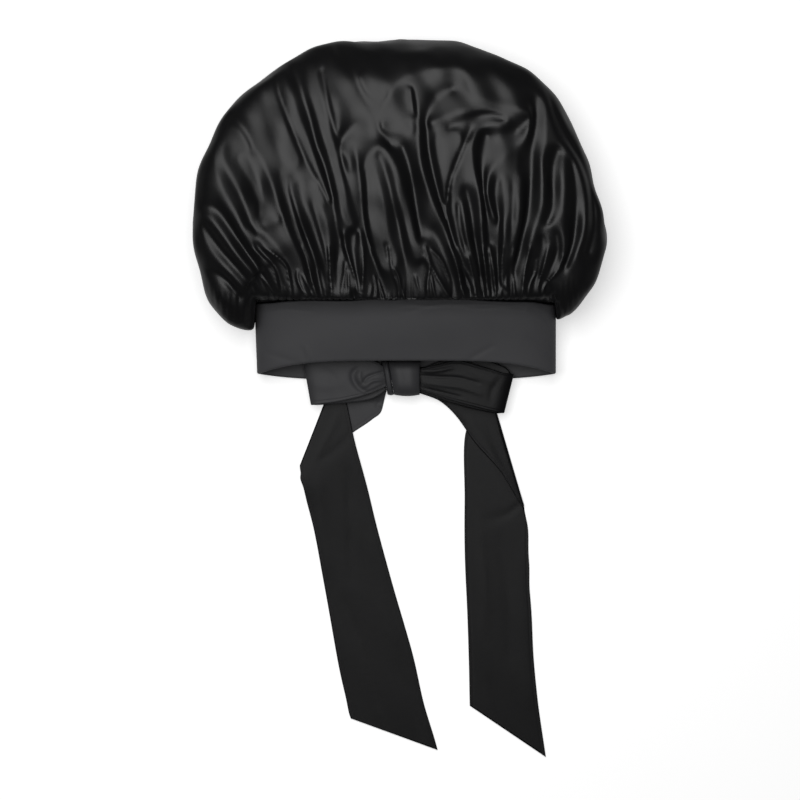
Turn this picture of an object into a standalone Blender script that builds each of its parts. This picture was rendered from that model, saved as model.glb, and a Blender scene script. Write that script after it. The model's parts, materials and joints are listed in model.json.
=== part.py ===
"""A satin bonnet lying flat: a gathered crown, a wide band, and a tie with a bow and two tails.

The bonnet lies on the plane z = 0 with the crown towards +Y and the tails towards -Y.
Shapes are worked out in a frame whose x = 0 is the middle of the band and whose y = 0 is the
corner where the band's top edge meets its side crease. At the end everything is moved so that
the origin is under the middle of the finished bonnet.
"""
import math

import bmesh
import bpy
import numpy as np
from mathutils import Vector

# Crown, in metres
CROWN_WIDTH = 0.3545
CROWN_LENGTH = 0.2286
CROWN_HEIGHT = 0.088
CROWN_WALL = 0.0015
CROWN_OFFSET = -0.0045
LOBE_DROP_LEFT = 0.0208
LOBE_DROP_RIGHT = 0.0130
LOBE_STANDOFF = 0.0060
NECK_DEPTH = 0.0065
NECK_GATHER_DEPTH = 0.0010
GATHER_DEPTH = 0.0034
GATHER_COUNT = 32
FOLD_DEPTH = 0.0080
# Share of a fold's length over which it fades out at each end
FOLD_FADE = 0.2

# Band
BAND_WIDTH = 0.260
BAND_DEPTH = 0.0598
BAND_WALL = 0.0030
BAND_TOP_HEIGHT = 0.0550
BAND_MOUTH_HEIGHT = 0.0420
BAND_CREASE_HEIGHT = 0.0170
SEAM_RISE = 0.0039
SEAM_DROP = 0.0113
HEM_RISE = 0.0113
HEM_DROP = 0.0052

# Tie
TIE_WALL = 0.0018
TIE_LAYER_GAP = 0.0009
TIE_OVERHANG = 0.0060
TIE_DESCENT = 0.0140
TAIL_LENGTH_LEFT = 0.3160
TAIL_LENGTH_RIGHT = 0.3290
TAIL_WIDTH = 0.0530
LOOP_LENGTH_LEFT = 0.0672
LOOP_LENGTH_RIGHT = 0.0763
LOOP_WIDTH = 0.0500
LOOP_HEIGHT = 0.0085
LOOP_LIFT = 0.0010
KNOT_WIDTH = 0.0245
KNOT_DEPTH = 0.0315
KNOT_HEIGHT = 0.0235
KNOT_SLANT = 0.167
KNOT_BULGE = 0.08
WRAP_WIDTH = 0.0056
WRAP_DEPTH = 0.0300
WRAP_HEIGHT = 0.0195
WRAP_BULGE = 0.05
KNOT_PLACE = (0.0002, -0.0632)

# Clearance between pieces that touch on the real bonnet
GAP = 0.0003
TIE_GAP = 0.0005
GROUND_GAP = 0.0001

# Rings are flattened loops: these powers set how square the upper and lower halves are
UPPER_POWER = 0.58
LOWER_POWER = 0.50
EDGE_POWER = 4
WRAP_POWER = 0.70
UPPER_COLUMNS = 2 * GATHER_COUNT
LOWER_COLUMNS = 20
CROWN_ROWS = 24
# Rings of the crown that belong to the neck and to the roll over the band's top edge
NECK_RINGS = 2
SKIRT_RINGS = 3
# Rows at the crown's top whose two walls are sewn together
CLOSED_ROWS = 3
BAND_ROWS = 4
FOLD_STEPS = 25
WRAP_STATIONS = 7
WRAP_COLUMNS = 20

BAND_HALF = BAND_WIDTH / 2
BAND_FLOOR = BAND_WALL + GAP

# Crown above the neck, one row for each ring. Across: shares of CROWN_WIDTH from the crown's
# middle. Along: shares of CROWN_LENGTH from the band's corner. Heights: shares of CROWN_HEIGHT.
# Turn: the share of the half width beyond which the ring turns down to its side points.
CROWN_RINGS = (
    # left across, left along, right across, right along, middle along,
    #       side height, upper height, lower height, turn, gather
    (-0.424, -0.057, 0.420, -0.023, 0.095, 0.27, 0.83, -0.10, 0.80, 1.00),
    (-0.466, 0.027, 0.468, 0.076, 0.163, 0.30, 0.90, -0.10, 0.60, 0.80),
    (-0.490, 0.163, 0.495, 0.178, 0.246, 0.34, 0.96, -0.10, 0.40, 0.55),
    (-0.500, 0.303, 0.498, 0.265, 0.352, 0.37, 1.00, -0.10, 0.20, 0.25),
    (-0.490, 0.466, 0.471, 0.439, 0.473, 0.38, 1.00, -0.10, 0.00, 0.10),
    (-0.461, 0.598, 0.439, 0.587, 0.595, 0.37, 0.98, -0.10, 0.00, 0.00),
    (-0.410, 0.731, 0.393, 0.739, 0.720, 0.35, 0.94, -0.08, 0.00, 0.00),
    (-0.332, 0.841, 0.315, 0.867, 0.833, 0.32, 0.86, -0.04, 0.00, 0.00),
    (-0.241, 0.936, 0.220, 0.943, 0.920, 0.27, 0.65, 0.06, 0.00, 0.00),
    (-0.171, 0.977, 0.171, 0.970, 0.962, 0.25, 0.47, 0.14, 0.00, 0.00),
    (-0.102, 0.985, 0.102, 0.989, 0.985, 0.25, 0.34, 0.19, 0.00, 0.00),
    (0.000, 1.000, 0.000, 1.000, 1.000, 0.25, 0.25, 0.25, 0.00, 0.00),
)

# Main folds of the crown's upper side. Points: shares of CROWN_WIDTH and CROWN_LENGTH as above.
# Crest and flank: half the flat top and the width of each side, shares of CROWN_WIDTH.
# Depth: share of FOLD_DEPTH, above 0 for a ridge and below 0 for a furrow.
CROWN_FOLDS = (
    # start across, along, middle across, along, end across, along, crest, flank, depth
    (-0.32, 0.85, -0.28, 0.50, -0.20, 0.14, 0.016, 0.030, 0.9),
    (-0.24, 0.86, -0.20, 0.52, -0.14, 0.16, 0.004, 0.020, -0.9),
    (-0.18, 0.92, -0.14, 0.55, -0.09, 0.18, 0.014, 0.026, 0.9),
    (-0.08, 0.60, -0.06, 0.36, -0.01, 0.14, 0.016, 0.026, 0.8),
    (-0.03, 0.52, 0.00, 0.34, 0.02, 0.12, 0.004, 0.020, -0.8),
    (0.04, 0.82, 0.06, 0.46, 0.14, 0.12, 0.003, 0.026, 1.1),
    (0.10, 0.62, 0.12, 0.44, 0.13, 0.24, 0.018, 0.022, 0.6),
    (-0.01, 0.86, 0.14, 0.92, 0.20, 0.74, 0.006, 0.030, 0.8),
    (0.08, 0.70, 0.20, 0.74, 0.28, 0.70, 0.004, 0.024, 0.8),
    (0.20, 0.66, 0.17, 0.46, 0.21, 0.12, 0.004, 0.022, 0.9),
    (0.28, 0.56, 0.27, 0.34, 0.25, 0.14, 0.018, 0.026, 0.8),
    (0.35, 0.78, 0.35, 0.44, 0.29, 0.12, 0.003, 0.030, 1.0),
    (0.40, 0.58, 0.46, 0.32, 0.39, 0.08, 0.003, 0.030, 0.9),
    (-0.45, 0.58, -0.40, 0.36, -0.30, 0.10, 0.006, 0.034, 1.0),
    (-0.38, 0.58, -0.33, 0.38, -0.28, 0.24, 0.012, 0.028, 0.7),
    (-0.48, 0.32, -0.44, 0.18, -0.36, 0.04, 0.005, 0.024, 0.7),
)

# Tie ends, one row for each crossing line from edge to edge. Across and along: the line's middle
# from the tie's side, shares of the tail's length. Angle: the line's direction in degrees from +X.
# Width: share of TAIL_WIDTH. Layer: 0 lies lowest and 1 lies on the layer below.
TAIL_RIGHT = (
    # across, along, angle, width, layer
    (0.000, -0.005, 90, 0.44, 1.0),
    (0.062, -0.025, 75, 0.46, 1.0),
    (0.116, -0.058, 68, 0.60, 1.0),
    (0.156, -0.100, 76, 0.81, 1.0),
    (0.200, -0.150, 96, 1.15, 1.0),
    (0.234, -0.215, 107, 1.67, 0.9),
    (0.240, -0.213, 107, 1.68, 0.5),
    (0.234, -0.215, 107, 1.67, 0.1),
    (0.227, -0.255, 112, 1.94, 0.0),
    (0.204, -0.321, 118, 2.21, 0.0),
    (0.204, -0.440, 126, 1.81, 0.0),
    (0.210, -0.624, 143, 1.36, 0.0),
    (0.220, -0.795, 150, 1.30, 0.0),
    (0.232, -0.930, 146, 1.50, 0.0),
)
TAIL_LEFT = (
    (0.000, 0.000, 99, 0.43, 0.0),
    (-0.035, -0.026, 112, 0.83, 0.0),
    (-0.072, -0.041, 116, 0.98, 0.0),
    (-0.107, -0.060, 102, 1.10, 0.0),
    (-0.146, -0.086, 82, 1.34, 0.0),
    (-0.176, -0.111, 69, 1.66, 0.1),
    (-0.181, -0.110, 69, 1.67, 0.5),
    (-0.176, -0.111, 69, 1.66, 0.9),
    (-0.173, -0.147, 66, 1.65, 1.0),
    (-0.152, -0.238, 43, 1.14, 1.0),
    (-0.118, -0.369, 14, 1.01, 0.5),
    (-0.075, -0.556, 7, 1.09, 0.1),
    (-0.028, -0.758, 8, 1.22, 0.0),
    (0.002, -0.891, -4, 1.28, 0.0),
    (0.026, -0.976, -20, 1.51, 0.0),
)

# Bow loops: out along the lower leaf, round the end and back along the upper leaf.
# Across and along: the line's middle from the tie's side, shares of the loop's length.
# Width: share of LOOP_WIDTH. Height: share of LOOP_HEIGHT above the lower leaf.
LOOP_LEFT = (
    # across, along, angle, width, height
    (0.000, 0.000, 99, 0.40, 0.10),
    (-0.188, 0.009, 94, 0.74, 0.02),
    (-0.504, 0.020, 90, 0.92, 0.00),
    (-0.884, 0.026, 97, 1.01, 0.06),
    (-0.981, 0.026, 100, 1.02, 0.28),
    (-1.000, 0.026, 100, 1.02, 0.52),
    (-0.984, 0.026, 100, 1.02, 0.75),
    (-0.865, 0.026, 98, 0.98, 0.95),
    (-0.575, 0.026, 93, 0.87, 1.00),
    (-0.278, 0.023, 92, 0.67, 1.00),
    (-0.098, 0.026, 94, 0.49, 0.93),
    (-0.003, 0.020, 99, 0.36, 0.80),
)
LOOP_RIGHT = (
    (0.000, -0.034, 90, 0.42, 0.10),
    (0.262, -0.023, 84, 0.70, 0.02),
    (0.586, -0.054, 82, 0.87, 0.00),
    (0.886, -0.131, 78, 0.83, 0.06),
    (0.983, -0.176, 76, 0.70, 0.28),
    (1.000, -0.176, 76, 0.70, 0.52),
    (0.984, -0.174, 76, 0.70, 0.75),
    (0.892, -0.162, 77, 0.69, 0.94),
    (0.688, -0.105, 86, 0.72, 1.00),
    (0.433, -0.040, 90, 0.73, 1.00),
    (0.206, -0.028, 90, 0.56, 0.97),
    (0.000, -0.017, 90, 0.38, 0.80),
)
TIE_ROWS_PER_LINE = 2
TAIL_COLUMNS = 9
LOOP_COLUMNS = 5


def clear_scene():
    """Remove every object, so that only the bonnet is left."""
    for thing in list(bpy.data.objects):
        bpy.data.objects.remove(thing, do_unlink=True)


def cloth_material(name, colour, roughness, sheen):
    """A cloth with one base colour, no metal and a little sheen."""
    material = bpy.data.materials.new(name)
    material.use_nodes = True
    shader = material.node_tree.nodes["Principled BSDF"]
    shader.inputs["Base Color"].default_value = (*colour, 1.0)
    shader.inputs["Roughness"].default_value = roughness
    shader.inputs["Metallic"].default_value = 0.0
    shader.inputs["Sheen Weight"].default_value = sheen
    return material


def smoothstep(value):
    """0 below 0, 1 above 1 and a soft S between."""
    held = np.clip(value, 0.0, 1.0)
    return held * held * (3.0 - 2.0 * held)


def through_rows(table, places):
    """Read a table at fractional row numbers along a smooth curve through its rows."""
    rows = np.asarray(table, dtype=float)
    last = len(rows) - 1
    start = np.clip(np.floor(places).astype(int), 0, last - 1)
    share = (np.asarray(places) - start)[:, None]
    before = rows[np.clip(start - 1, 0, last)]
    here = rows[start]
    there = rows[start + 1]
    after = rows[np.clip(start + 2, 0, last)]
    return 0.5 * (2.0 * here + (there - before) * share
                  + (2.0 * before - 5.0 * here + 4.0 * there - after) * share ** 2
                  + (3.0 * here - before - 3.0 * there + after) * share ** 3)


def ring_angles():
    """Angles round a ring: 0 is the right side, a quarter turn the middle of the upper half."""
    upper = np.linspace(0.0, math.pi, UPPER_COLUMNS, endpoint=False)
    lower = np.linspace(math.pi, 2.0 * math.pi, LOWER_COLUMNS, endpoint=False)
    return np.concatenate([upper, lower])


def flat_ring(angles, left, right, along_left, along_right, middle, drop, heights, turn):
    """Points of one flattened ring.

    Across runs with the cosine between the side points. Along runs from the middle line to the
    side points beyond the turn, and the lower half hangs back by drop. Height runs from the side
    to the upper or lower middle with a power of the sine, and never below the ground.
    """
    side_height, upper_height, lower_height = heights
    cosine = np.cos(angles)
    sine = np.sin(angles)
    reach = np.abs(cosine)
    across = (left + right) / 2 + (right - left) / 2 * cosine
    side_along = np.where(cosine > 0, along_right, along_left)
    turned = smoothstep((reach - turn) / max(1.0 - turn, 1e-6))
    along = middle + (side_along - middle) * turned
    rise = np.where(sine > 0, 0.0, drop) * (1.0 - reach ** EDGE_POWER)
    upper = side_height + (upper_height - side_height) * np.abs(sine) ** UPPER_POWER
    lower = side_height + (lower_height - side_height) * np.abs(sine) ** LOWER_POWER
    height = np.maximum(np.where(sine > 0, upper, lower), 0.0)
    return np.stack([across, along - rise, height], axis=-1)


def grid_normals(grid):
    """Unit normals of a grid of points that closes on itself along its second direction."""
    around = np.roll(grid, -1, axis=1) - np.roll(grid, 1, axis=1)
    onward = np.gradient(grid, axis=0)
    normal = np.cross(onward, around)
    length = np.linalg.norm(normal, axis=-1, keepdims=True)
    return normal / np.maximum(length, 1e-12)


def band_height(share):
    """Height of the band's upper leaf at a share of the way from its top edge to its hem."""
    return BAND_TOP_HEIGHT + (BAND_MOUTH_HEIGHT - BAND_TOP_HEIGHT) * share


def crown_rings():
    """Rows of the crown from inside the band's top edge to the crown's top."""
    middle = CROWN_OFFSET
    inset = BAND_WALL + GAP + NECK_GATHER_DEPTH
    neck_half = BAND_HALF - inset
    rows = []
    for onward in (-NECK_DEPTH, NECK_DEPTH / 2):
        height = band_height(max(-onward, 0.0) / BAND_DEPTH) - inset
        rows.append((-neck_half, neck_half, onward, onward, SEAM_RISE + onward,
                     SEAM_RISE + SEAM_DROP, BAND_CREASE_HEIGHT, height, inset,
                     0.6, NECK_GATHER_DEPTH))
    # Over the band's top edge, then down beside its creases. Standoff and past: shares of
    # LOBE_STANDOFF. Drops: shares of LOBE_DROP_LEFT and LOBE_DROP_RIGHT. Heights: shares of
    # CROWN_HEIGHT. Gather: share of GATHER_DEPTH.
    skirt = (
        # standoff, left drop, right drop, past, back, side, upper, lower, turn, gather
        (0.45, -0.25, -0.40, 1.0, 0.95, 0.25, 0.66, 0.045, 0.93, 0.45),
        (1.00, 0.54, 0.60, 1.8, 0.80, 0.27, 0.73, 0.010, 0.95, 0.80),
        (1.60, 1.00, 1.00, 2.4, 0.50, 0.27, 0.78, -0.050, 0.93, 1.00),
    )
    for standoff, left_drop, right_drop, past, back, side, upper, lower, turn, gather in skirt:
        half = BAND_HALF + standoff * LOBE_STANDOFF
        rows.append((-half, half, -left_drop * LOBE_DROP_LEFT, -right_drop * LOBE_DROP_RIGHT,
                     SEAM_RISE + past * LOBE_STANDOFF, back * (SEAM_RISE + SEAM_DROP),
                     side * CROWN_HEIGHT, upper * CROWN_HEIGHT, lower * CROWN_HEIGHT,
                     turn, gather * GATHER_DEPTH))
    for left, along_left, right, along_right, centre, side, upper, lower, turn, gather in CROWN_RINGS:
        rows.append((middle + left * CROWN_WIDTH, middle + right * CROWN_WIDTH,
                     along_left * CROWN_LENGTH, along_right * CROWN_LENGTH,
                     centre * CROWN_LENGTH, 0.0, side * CROWN_HEIGHT, upper * CROWN_HEIGHT,
                     lower * CROWN_HEIGHT, turn, gather * GATHER_DEPTH))
    return rows


def fold_relief(across, along):
    """Height of the main folds at points given in shares of the crown's width and length.

    Each fold follows a curve through three points. Its section is flat for crest each side, then
    falls to nothing over flank, and it fades out towards both ends of the curve.
    """
    aspect = CROWN_LENGTH / CROWN_WIDTH
    total = np.zeros_like(across)
    steps = np.linspace(0.0, 1.0, FOLD_STEPS)
    for x0, y0, x1, y1, x2, y2, crest, flank, depth in CROWN_FOLDS:
        bend_x = 2 * x1 - (x0 + x2) / 2
        bend_y = 2 * y1 - (y0 + y2) / 2
        path_x = (1 - steps) ** 2 * x0 + 2 * steps * (1 - steps) * bend_x + steps ** 2 * x2
        path_y = (1 - steps) ** 2 * y0 + 2 * steps * (1 - steps) * bend_y + steps ** 2 * y2
        gap_x = across[..., None] - path_x
        gap_y = (along[..., None] - path_y) * aspect
        distance = np.hypot(gap_x, gap_y)
        nearest = np.argmin(distance, axis=-1)
        fade = np.minimum(steps, 1 - steps)[nearest] / FOLD_FADE
        total += depth * smoothstep(fade) * smoothstep(1 - (distance.min(axis=-1) - crest) / flank)
    return total


def crown_surface():
    """Outer points of the crown, one row for each ring, with gathers and folds pressed in."""
    angles = ring_angles()
    table = crown_rings()
    places = np.linspace(0, len(table) - 1, CROWN_ROWS)
    rings = through_rows(table, places)
    grid = np.stack([flat_ring(angles, row[0], row[1], row[2], row[3], row[4], row[5],
                               row[6:9], row[9]) for row in rings])
    normal = grid_normals(grid)
    upper = smoothstep(3.0 * np.sin(angles))[None, :]
    wave = np.where(np.arange(len(angles)) % 2 == 0, 0.5, -0.5)[None, :]
    gather = wave * rings[:, 10][:, None] * upper
    folds = FOLD_DEPTH * fold_relief((grid[..., 0] - CROWN_OFFSET) / CROWN_WIDTH,
                                     grid[..., 1] / CROWN_LENGTH)
    free = smoothstep((places - NECK_RINGS) / SKIRT_RINGS - 0.4)[:, None]
    grid = grid + normal * (gather + folds * upper * free)[..., None]
    grid[..., 2] = np.maximum(grid[..., 2], 0.0)
    return grid


def grid_faces(rows, columns, start=0, closed=True, flip=False):
    """Quads between neighbouring rows of points, numbered row by row from start."""
    number = start + np.arange(rows * columns).reshape(rows, columns)
    across = np.roll(number, -1, axis=1) if closed else number[:, 1:]
    here = number if closed else number[:, :-1]
    quads = np.stack([here[:-1], across[:-1], across[1:], here[1:]], axis=-1).reshape(-1, 4)
    return (quads[:, ::-1] if flip else quads).tolist()


def add_object(name, points, faces, material):
    """Make one mesh object and turn its faces outwards."""
    mesh = bpy.data.meshes.new(name)
    mesh.from_pydata([tuple(point) for point in points], [], faces)
    shell = bmesh.new()
    shell.from_mesh(mesh)
    bmesh.ops.recalc_face_normals(shell, faces=shell.faces)
    shell.to_mesh(mesh)
    shell.free()
    mesh.update()
    mesh.shade_smooth()
    mesh.materials.append(material)
    thing = bpy.data.objects.new(name, mesh)
    bpy.context.collection.objects.link(thing)
    return thing


def make_crown(material):
    """A bag with an outer wall, an inner wall and an open neck."""
    outer = crown_surface()
    rows = len(outer) - 1
    inner_rows = rows - CLOSED_ROWS
    columns = outer.shape[1]
    inner = (outer - CROWN_WALL * grid_normals(outer))[:inner_rows]
    inner[..., 2] = np.maximum(inner[..., 2], CROWN_WALL)
    tops = [outer[-1].mean(axis=0), inner[-1].mean(axis=0)]
    points = np.concatenate([outer[:rows].reshape(-1, 3), inner.reshape(-1, 3), tops])
    size = rows * columns
    faces = grid_faces(rows, columns)
    faces += grid_faces(inner_rows, columns, start=size, flip=True)
    outer_last = size - columns
    inner_last = size + (inner_rows - 1) * columns
    for column in range(columns):
        after = (column + 1) % columns
        faces.append([outer_last + column, outer_last + after, len(points) - 2])
        faces.append([inner_last + after, inner_last + column, len(points) - 1])
        faces.append([column, size + column, size + after, after])
    return add_object("crown", points, faces, material)


def make_band(material):
    """A flattened open ring of double cloth, its mouth held a little open."""
    angles = ring_angles()
    rows = np.linspace(0.0, 1.0, BAND_ROWS)

    def wall(inset):
        """One face of the band, set in from its outer face."""
        rings = []
        for share in rows:
            along = -BAND_DEPTH * share
            rise = SEAM_RISE + (HEM_RISE - SEAM_RISE) * share
            back = SEAM_DROP + (HEM_DROP - SEAM_DROP) * share
            half = BAND_HALF - inset
            edge = 1.0 - np.abs(np.cos(angles)) ** EDGE_POWER
            ring = flat_ring(angles, -half, half, 0.0, 0.0, 0.0, 0.0,
                             (BAND_CREASE_HEIGHT, band_height(share) - inset, inset), 0.0)
            ring[:, 1] = along + edge * np.where(np.sin(angles) > 0, rise, -back)
            rings.append(ring)
        return np.stack(rings)

    outer = wall(0.0)
    inner = wall(BAND_WALL)
    sheet = np.concatenate([outer, inner[::-1]])
    faces = grid_faces(len(sheet) + 1, len(angles))
    size = len(sheet) * len(angles)
    faces = [[corner % size for corner in face] for face in faces]
    return add_object("band", sheet.reshape(-1, 3), faces, material)


def support_height(flat):
    """Height of what the tie lies on: the band's lower leaf, then the ground beyond its hem."""
    hem = -(BAND_DEPTH + HEM_DROP)
    reach = np.clip(np.abs(flat[..., 0]) / (BAND_HALF - BAND_WALL), 0.0, 1.0)
    sine = np.sqrt(1.0 - reach ** 2)
    leaf = BAND_CREASE_HEIGHT + (BAND_WALL - BAND_CREASE_HEIGHT) * sine ** LOWER_POWER
    over = smoothstep((flat[..., 1] - hem + TIE_OVERHANG + TIE_DESCENT) / TIE_DESCENT)
    return (leaf + GAP) * over


def tie_lines(table, length, width, side):
    """Edge-to-edge lines of a tie strip, as middles, half vectors and the table's last column."""
    count = (len(table) - 1) * TIE_ROWS_PER_LINE + 1
    lines = through_rows(table, np.linspace(0, len(table) - 1, count))
    middle = np.array((KNOT_PLACE[0] + side, KNOT_PLACE[1])) + lines[:, :2] * length
    turn = np.radians(lines[:, 2])
    half = 0.5 * width * lines[:, 3:4] * np.stack([np.cos(turn), np.sin(turn)], axis=-1)
    return middle, half, lines[:, 4]


def tie_strip(name, middle, half, columns, height, material):
    """A strip of cloth through the given lines, thickened evenly."""
    share = np.linspace(-1.0, 1.0, columns)[None, :, None]
    flat = middle[:, None, :] + share * half[:, None, :]
    points = np.concatenate([flat, height(flat)[..., None]], axis=-1)
    faces = grid_faces(len(points), columns, closed=False)
    strip = add_object(name, points.reshape(-1, 3), faces, material)
    thick = strip.modifiers.new("cloth thickness", 'SOLIDIFY')
    thick.thickness = TIE_WALL
    thick.offset = 0.0
    return strip


def make_tail(name, table, length, side, material):
    """A tie end with one diagonal fold, lying on the band's lower leaf and then on the ground."""
    middle, half, layer = tie_lines(table, length, TAIL_WIDTH, side)
    lift = GROUND_GAP + TIE_WALL / 2 + layer * (TIE_WALL + TIE_LAYER_GAP)
    return tie_strip(name, middle, half, TAIL_COLUMNS,
                     lambda flat: support_height(flat) + lift[:, None], material)


def make_loop(name, table, length, side, material):
    """A bow loop: a strip that runs out, turns over at its end and comes back on top."""
    middle, half, rise = tie_lines(table, length, LOOP_WIDTH, side)
    low = BAND_FLOOR + 2 * (TIE_WALL + TIE_LAYER_GAP) + LOOP_LIFT + TIE_WALL / 2
    level = low + rise * LOOP_HEIGHT
    return tie_strip(name, middle, half, LOOP_COLUMNS,
                     lambda flat: np.broadcast_to(level[:, None], flat.shape[:2]), material)


def make_wrap(name, left, right, depth, height, bulge, material):
    """A tight wrap of cloth: rounded rings carried from its left face to its right face.

    The faces lie across the tie and lean by KNOT_SLANT; each ring is a rounded square that is
    a little fuller in the middle.
    """
    stations = np.linspace(0.0, 1.0, WRAP_STATIONS)
    around = np.linspace(0.0, 2.0 * math.pi, WRAP_COLUMNS, endpoint=False)
    cosine = np.sign(np.cos(around)) * np.abs(np.cos(around)) ** WRAP_POWER
    sine = np.sign(np.sin(around)) * np.abs(np.sin(around)) ** WRAP_POWER
    swell = 1.0 - bulge * (2.0 * stations - 1.0) ** 2
    along = KNOT_PLACE[1] + 0.5 * depth * swell[:, None] * cosine
    centre = BAND_FLOOR + 0.5 * height
    upward = np.where(sine > 0, swell[:, None], 1.0)
    tall = centre + 0.5 * height * upward * sine
    lean = -KNOT_SLANT * (along - KNOT_PLACE[1])
    first = KNOT_PLACE[0] + left[0] + left[1] * lean
    final = KNOT_PLACE[0] + right[0] + right[1] * lean
    across = first + (final - first) * stations[:, None]
    points = np.stack([across, along, tall], axis=-1)
    rows, columns = points.shape[:2]
    faces = grid_faces(rows, columns)
    faces.append(list(range(columns))[::-1])
    faces.append(list(range((rows - 1) * columns, rows * columns)))
    return add_object(name, points.reshape(-1, 3), faces, material)


def build():
    """Make every piece, then move the whole bonnet so that the origin is under its middle."""
    clear_scene()
    crown_satin = cloth_material("crown_satin", (0.010, 0.010, 0.012), 0.34, 0.2)
    band_satin = cloth_material("band_satin", (0.045, 0.045, 0.050), 0.55, 0.3)
    tie_satin = cloth_material("tie_satin", (0.028, 0.028, 0.031), 0.50, 0.3)

    knot_left = -KNOT_WIDTH / 2
    knot_right = KNOT_WIDTH / 2
    wrap_right = knot_left - GAP
    wrap_left = wrap_right - WRAP_WIDTH
    pieces = [
        make_crown(crown_satin),
        make_band(band_satin),
        make_wrap("bow_knot", (knot_left, 1.0), (knot_right, 0.0), KNOT_DEPTH, KNOT_HEIGHT,
                  KNOT_BULGE, tie_satin),
        make_wrap("knot_side_wrap", (wrap_left, 1.0), (wrap_right, 1.0), WRAP_DEPTH, WRAP_HEIGHT,
                  WRAP_BULGE, tie_satin),
        make_loop("bow_loop_left", LOOP_LEFT, LOOP_LENGTH_LEFT, wrap_left - TIE_GAP, tie_satin),
        make_loop("bow_loop_right", LOOP_RIGHT, LOOP_LENGTH_RIGHT, knot_right + TIE_GAP, tie_satin),
        make_tail("tail_left", TAIL_LEFT, TAIL_LENGTH_LEFT, wrap_left - TIE_GAP, tie_satin),
        make_tail("tail_right", TAIL_RIGHT, TAIL_LENGTH_RIGHT, knot_right + TIE_GAP, tie_satin),
    ]

    bpy.context.view_layer.update()
    graph = bpy.context.evaluated_depsgraph_get()
    corners = [Vector(corner) for piece in pieces for corner in piece.evaluated_get(graph).bound_box]
    low = [min(corner[axis] for corner in corners) for axis in range(2)]
    high = [max(corner[axis] for corner in corners) for axis in range(2)]
    base = bpy.data.objects.new("bonnet_frame", None)
    base.location = (-(low[0] + high[0]) / 2, -(low[1] + high[1]) / 2, 0.0)
    bpy.context.collection.objects.link(base)
    for piece in pieces:
        piece.parent = base


build()
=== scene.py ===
# %% [markdown]
# # A satin bonnet with a wide band and a long bow
#
# The bonnet lies flat on a pale table and is seen from straight above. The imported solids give
# every piece its real size and place. This script dresses them: it sews a finely folded satin
# crown, a smooth double band and a tie with a bow, gives them woven satin materials, and sets
# soft studio light round them.

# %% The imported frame
import json
import math

import bpy
import numpy as np
from mathutils import Matrix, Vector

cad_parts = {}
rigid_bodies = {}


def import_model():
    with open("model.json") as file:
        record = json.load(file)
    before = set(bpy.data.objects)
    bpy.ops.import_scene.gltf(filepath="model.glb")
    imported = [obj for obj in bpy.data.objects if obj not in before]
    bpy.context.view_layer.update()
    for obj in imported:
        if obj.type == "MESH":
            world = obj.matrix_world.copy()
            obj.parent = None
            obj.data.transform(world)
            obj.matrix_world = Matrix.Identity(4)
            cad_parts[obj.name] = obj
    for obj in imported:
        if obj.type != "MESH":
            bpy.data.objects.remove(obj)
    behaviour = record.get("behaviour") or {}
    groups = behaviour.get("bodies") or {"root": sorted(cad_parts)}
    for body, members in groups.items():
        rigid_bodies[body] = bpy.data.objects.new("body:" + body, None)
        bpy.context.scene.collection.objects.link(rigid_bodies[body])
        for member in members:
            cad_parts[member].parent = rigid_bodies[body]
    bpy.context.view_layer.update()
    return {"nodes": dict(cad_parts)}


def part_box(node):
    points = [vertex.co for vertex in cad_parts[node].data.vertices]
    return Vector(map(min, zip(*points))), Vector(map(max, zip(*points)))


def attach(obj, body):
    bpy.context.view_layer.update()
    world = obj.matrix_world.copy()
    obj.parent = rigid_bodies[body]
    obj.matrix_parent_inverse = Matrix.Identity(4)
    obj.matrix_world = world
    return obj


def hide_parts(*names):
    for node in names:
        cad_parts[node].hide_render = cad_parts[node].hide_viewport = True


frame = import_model()
print("solids:", sorted(frame["nodes"]))

# %% [markdown]
# ## Small helpers
#
# Cloth here is a grid of points: one number runs across the cloth and one runs along it. A helper
# turns such a grid into a mesh and lays a UV map on it that is measured in metres of cloth, so
# that a weave keeps its real size wherever the cloth is gathered or folded.

# %% Curves through a few chosen rows
def smoothstep(value):
    """0 below 0, 1 above 1, and 3v^2 - 2v^3 between."""
    held = np.clip(value, 0.0, 1.0)
    return held * held * (3.0 - 2.0 * held)


def through_rows(table, places):
    """Rows of a table read at fractional row numbers, on the smooth curve through four
    neighbours: half of 2b + (c-a)t + (2a-5b+4c-d)t^2 + (3b-a-3c+d)t^3."""
    rows = np.asarray(table, dtype=float)
    last = len(rows) - 1
    start = np.clip(np.floor(places).astype(int), 0, last - 1)
    share = (np.asarray(places) - start)[:, None]
    a = rows[np.clip(start - 1, 0, last)]
    b = rows[start]
    c = rows[start + 1]
    d = rows[np.clip(start + 2, 0, last)]
    return 0.5 * (2 * b + (c - a) * share + (2 * a - 5 * b + 4 * c - d) * share ** 2
                  + (3 * b - a - 3 * c + d) * share ** 3)


def even_places(path, count):
    """Fractional row numbers that cut a path of points into steps of equal length."""
    steps = np.linalg.norm(np.diff(path, axis=0), axis=-1)
    length = np.concatenate([[0.0], np.cumsum(steps)])
    return np.interp(np.linspace(0.0, length[-1], count), length, np.arange(len(path)))


# %% From grids of points to meshes
def grid_quads(rows, columns, closed):
    """Corner numbers of the quads of a grid, and the same on a grid whose closing column is
    written twice, which is the one that the UV map uses."""
    wide = columns + 1 if closed else columns
    number = np.arange(rows * wide).reshape(rows, wide)
    corners = [number[:-1, :-1], number[:-1, 1:], number[1:, 1:], number[1:, :-1]]
    unrolled = np.stack(corners, axis=-1).reshape(-1, 4)
    row, column = np.divmod(unrolled, wide)
    return row * columns + column % columns, unrolled


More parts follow.
